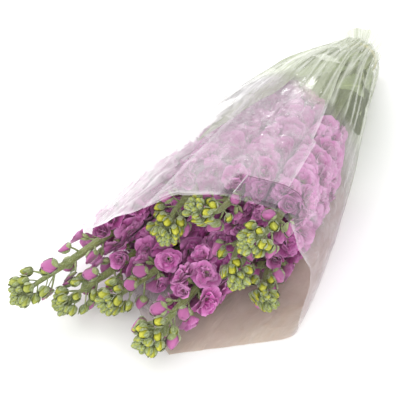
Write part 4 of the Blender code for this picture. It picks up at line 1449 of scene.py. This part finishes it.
tape = flat_grid("tape_strip", TAPE_COLUMNS, TAPE_ROWS)
spots = []
for across, down, _ in points_of(tape):
    share, line = across + 0.5, down + 0.5
    angle = between((TAPE_START, TAPE_END), share)
    y = mouth_y(angle) + TAPE_FROM_EDGE + TAPE_WIDTH * line
    loose = ease(TAPE_LOOSE_FROM, 1.0, share)
    ripple = TAPE_RIPPLE * noise.noise(Vector((share * 9.0, line * 4.0, 1.0)))
    lift = TAPE_LIFT + TAPE_CURL * loose ** 2 + ripple
    spots.append(wrap_point(y, angle - TAPE_TURNED_BACK * loose, -lift))
set_points(tape, np.array([tuple(spot) for spot in spots]))
make_smooth(tape)
tape_finish, tree, shader = new_material("clear_tape")
on_tape = own_uv(tree)
split = put(tree, "SeparateXYZ", {"Vector": on_tape})
lines = speckle(tree, scaled(tree, on_tape, (0.3, 2.0, 1.0)), 30.0, 3.0)
# Painted shade along the long edge and a painted highlight on the curled end.
edge_shade_line = ramp(tree, split.outputs["Y"], [(0.930, 0.0), (0.965, 1.0)])
curled_end_highlight = ramp(tree, split.outputs["X"], [(0.905, 0.0), (0.945, 1.0)])
body = ramp(tree, lines, [(0.35, (0.30, 0.25, 0.30)), (0.65, (0.42, 0.37, 0.42))])
body = blend_colours(tree, edge_shade_line, body, (0.16, 0.08, 0.13))
tree.links.new(blend_colours(tree, curled_end_highlight, body, (0.95, 0.95, 0.95)), shader.inputs["Base Color"])
veil = plus(tree, times(tree, edge_shade_line, 0.45), times(tree, lines, 0.20))
veil = plus(tree, plus(tree, veil, 0.18), times(tree, curled_end_highlight, 0.75))
tree.links.new(veil, shader.inputs["Alpha"])
tree.links.new(plus(tree, times(tree, lines, 0.2), 0.1), shader.inputs["Roughness"])
add_relief(tree, shader, lines, 0.2, 0.0004)
tape.data.materials.append(tape_finish)
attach(tape, "root")
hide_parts("closing_tape")

# Rubber band
# A plain tan rubber band, wound three times round the film and the stalks just above the cut ends. It
# gathers the film into pleats.
BAND_INNER = 0.0158
BAND_THICK = 0.0020
BAND_TURNS = 3
BAND_PITCH = 0.00155
BAND_STEPS = 56
BAND_SIDES = 8
BAND_FLATTER = 0.80
BAND_WAVE = 0.0005

bands = []
for turn in range(BAND_TURNS):
    middle_y = TIE + (turn - 1) * BAND_PITCH
    bpy.ops.object.select_all(action="DESELECT")
    bpy.ops.mesh.primitive_torus_add(
        major_segments=BAND_STEPS, minor_segments=BAND_SIDES, major_radius=BAND_INNER + BAND_THICK / 2.0,
        minor_radius=BAND_THICK / 2.0, rotation=(math.pi / 2.0, 0.0, 0.0),
        location=(0.0, middle_y, TIE_HEIGHT))
    strand = bpy.context.object
    bpy.ops.object.transform_apply(location=True, rotation=True, scale=True)
    points = points_of(strand)
    round_tie = np.arctan2(points[:, 2] - TIE_HEIGHT, points[:, 0])
    wave = BAND_WAVE * np.sin(round_tie + 2.1 * turn)
    points[:, 1] = middle_y + (points[:, 1] - middle_y) * BAND_FLATTER + wave
    set_points(strand, points)
    bands.append(strand)
band = join_as("wound_band", bands)
make_smooth(band)
tan_rubber, tree, shader = new_material("tan_rubber")
dust = speckle(tree, on_object(tree), 260.0, 4.0)
tree.links.new(ramp(tree, dust, [(0.35, (0.60, 0.52, 0.28)), (0.65, (0.74, 0.67, 0.42))]),
               shader.inputs["Base Color"])
tree.links.new(plus(tree, times(tree, dust, 0.3), 0.45), shader.inputs["Roughness"])
add_relief(tree, shader, dust, 0.25, 0.0003)
band.data.materials.append(tan_rubber)
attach(band, "root")
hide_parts("rubber_band")

low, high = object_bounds()
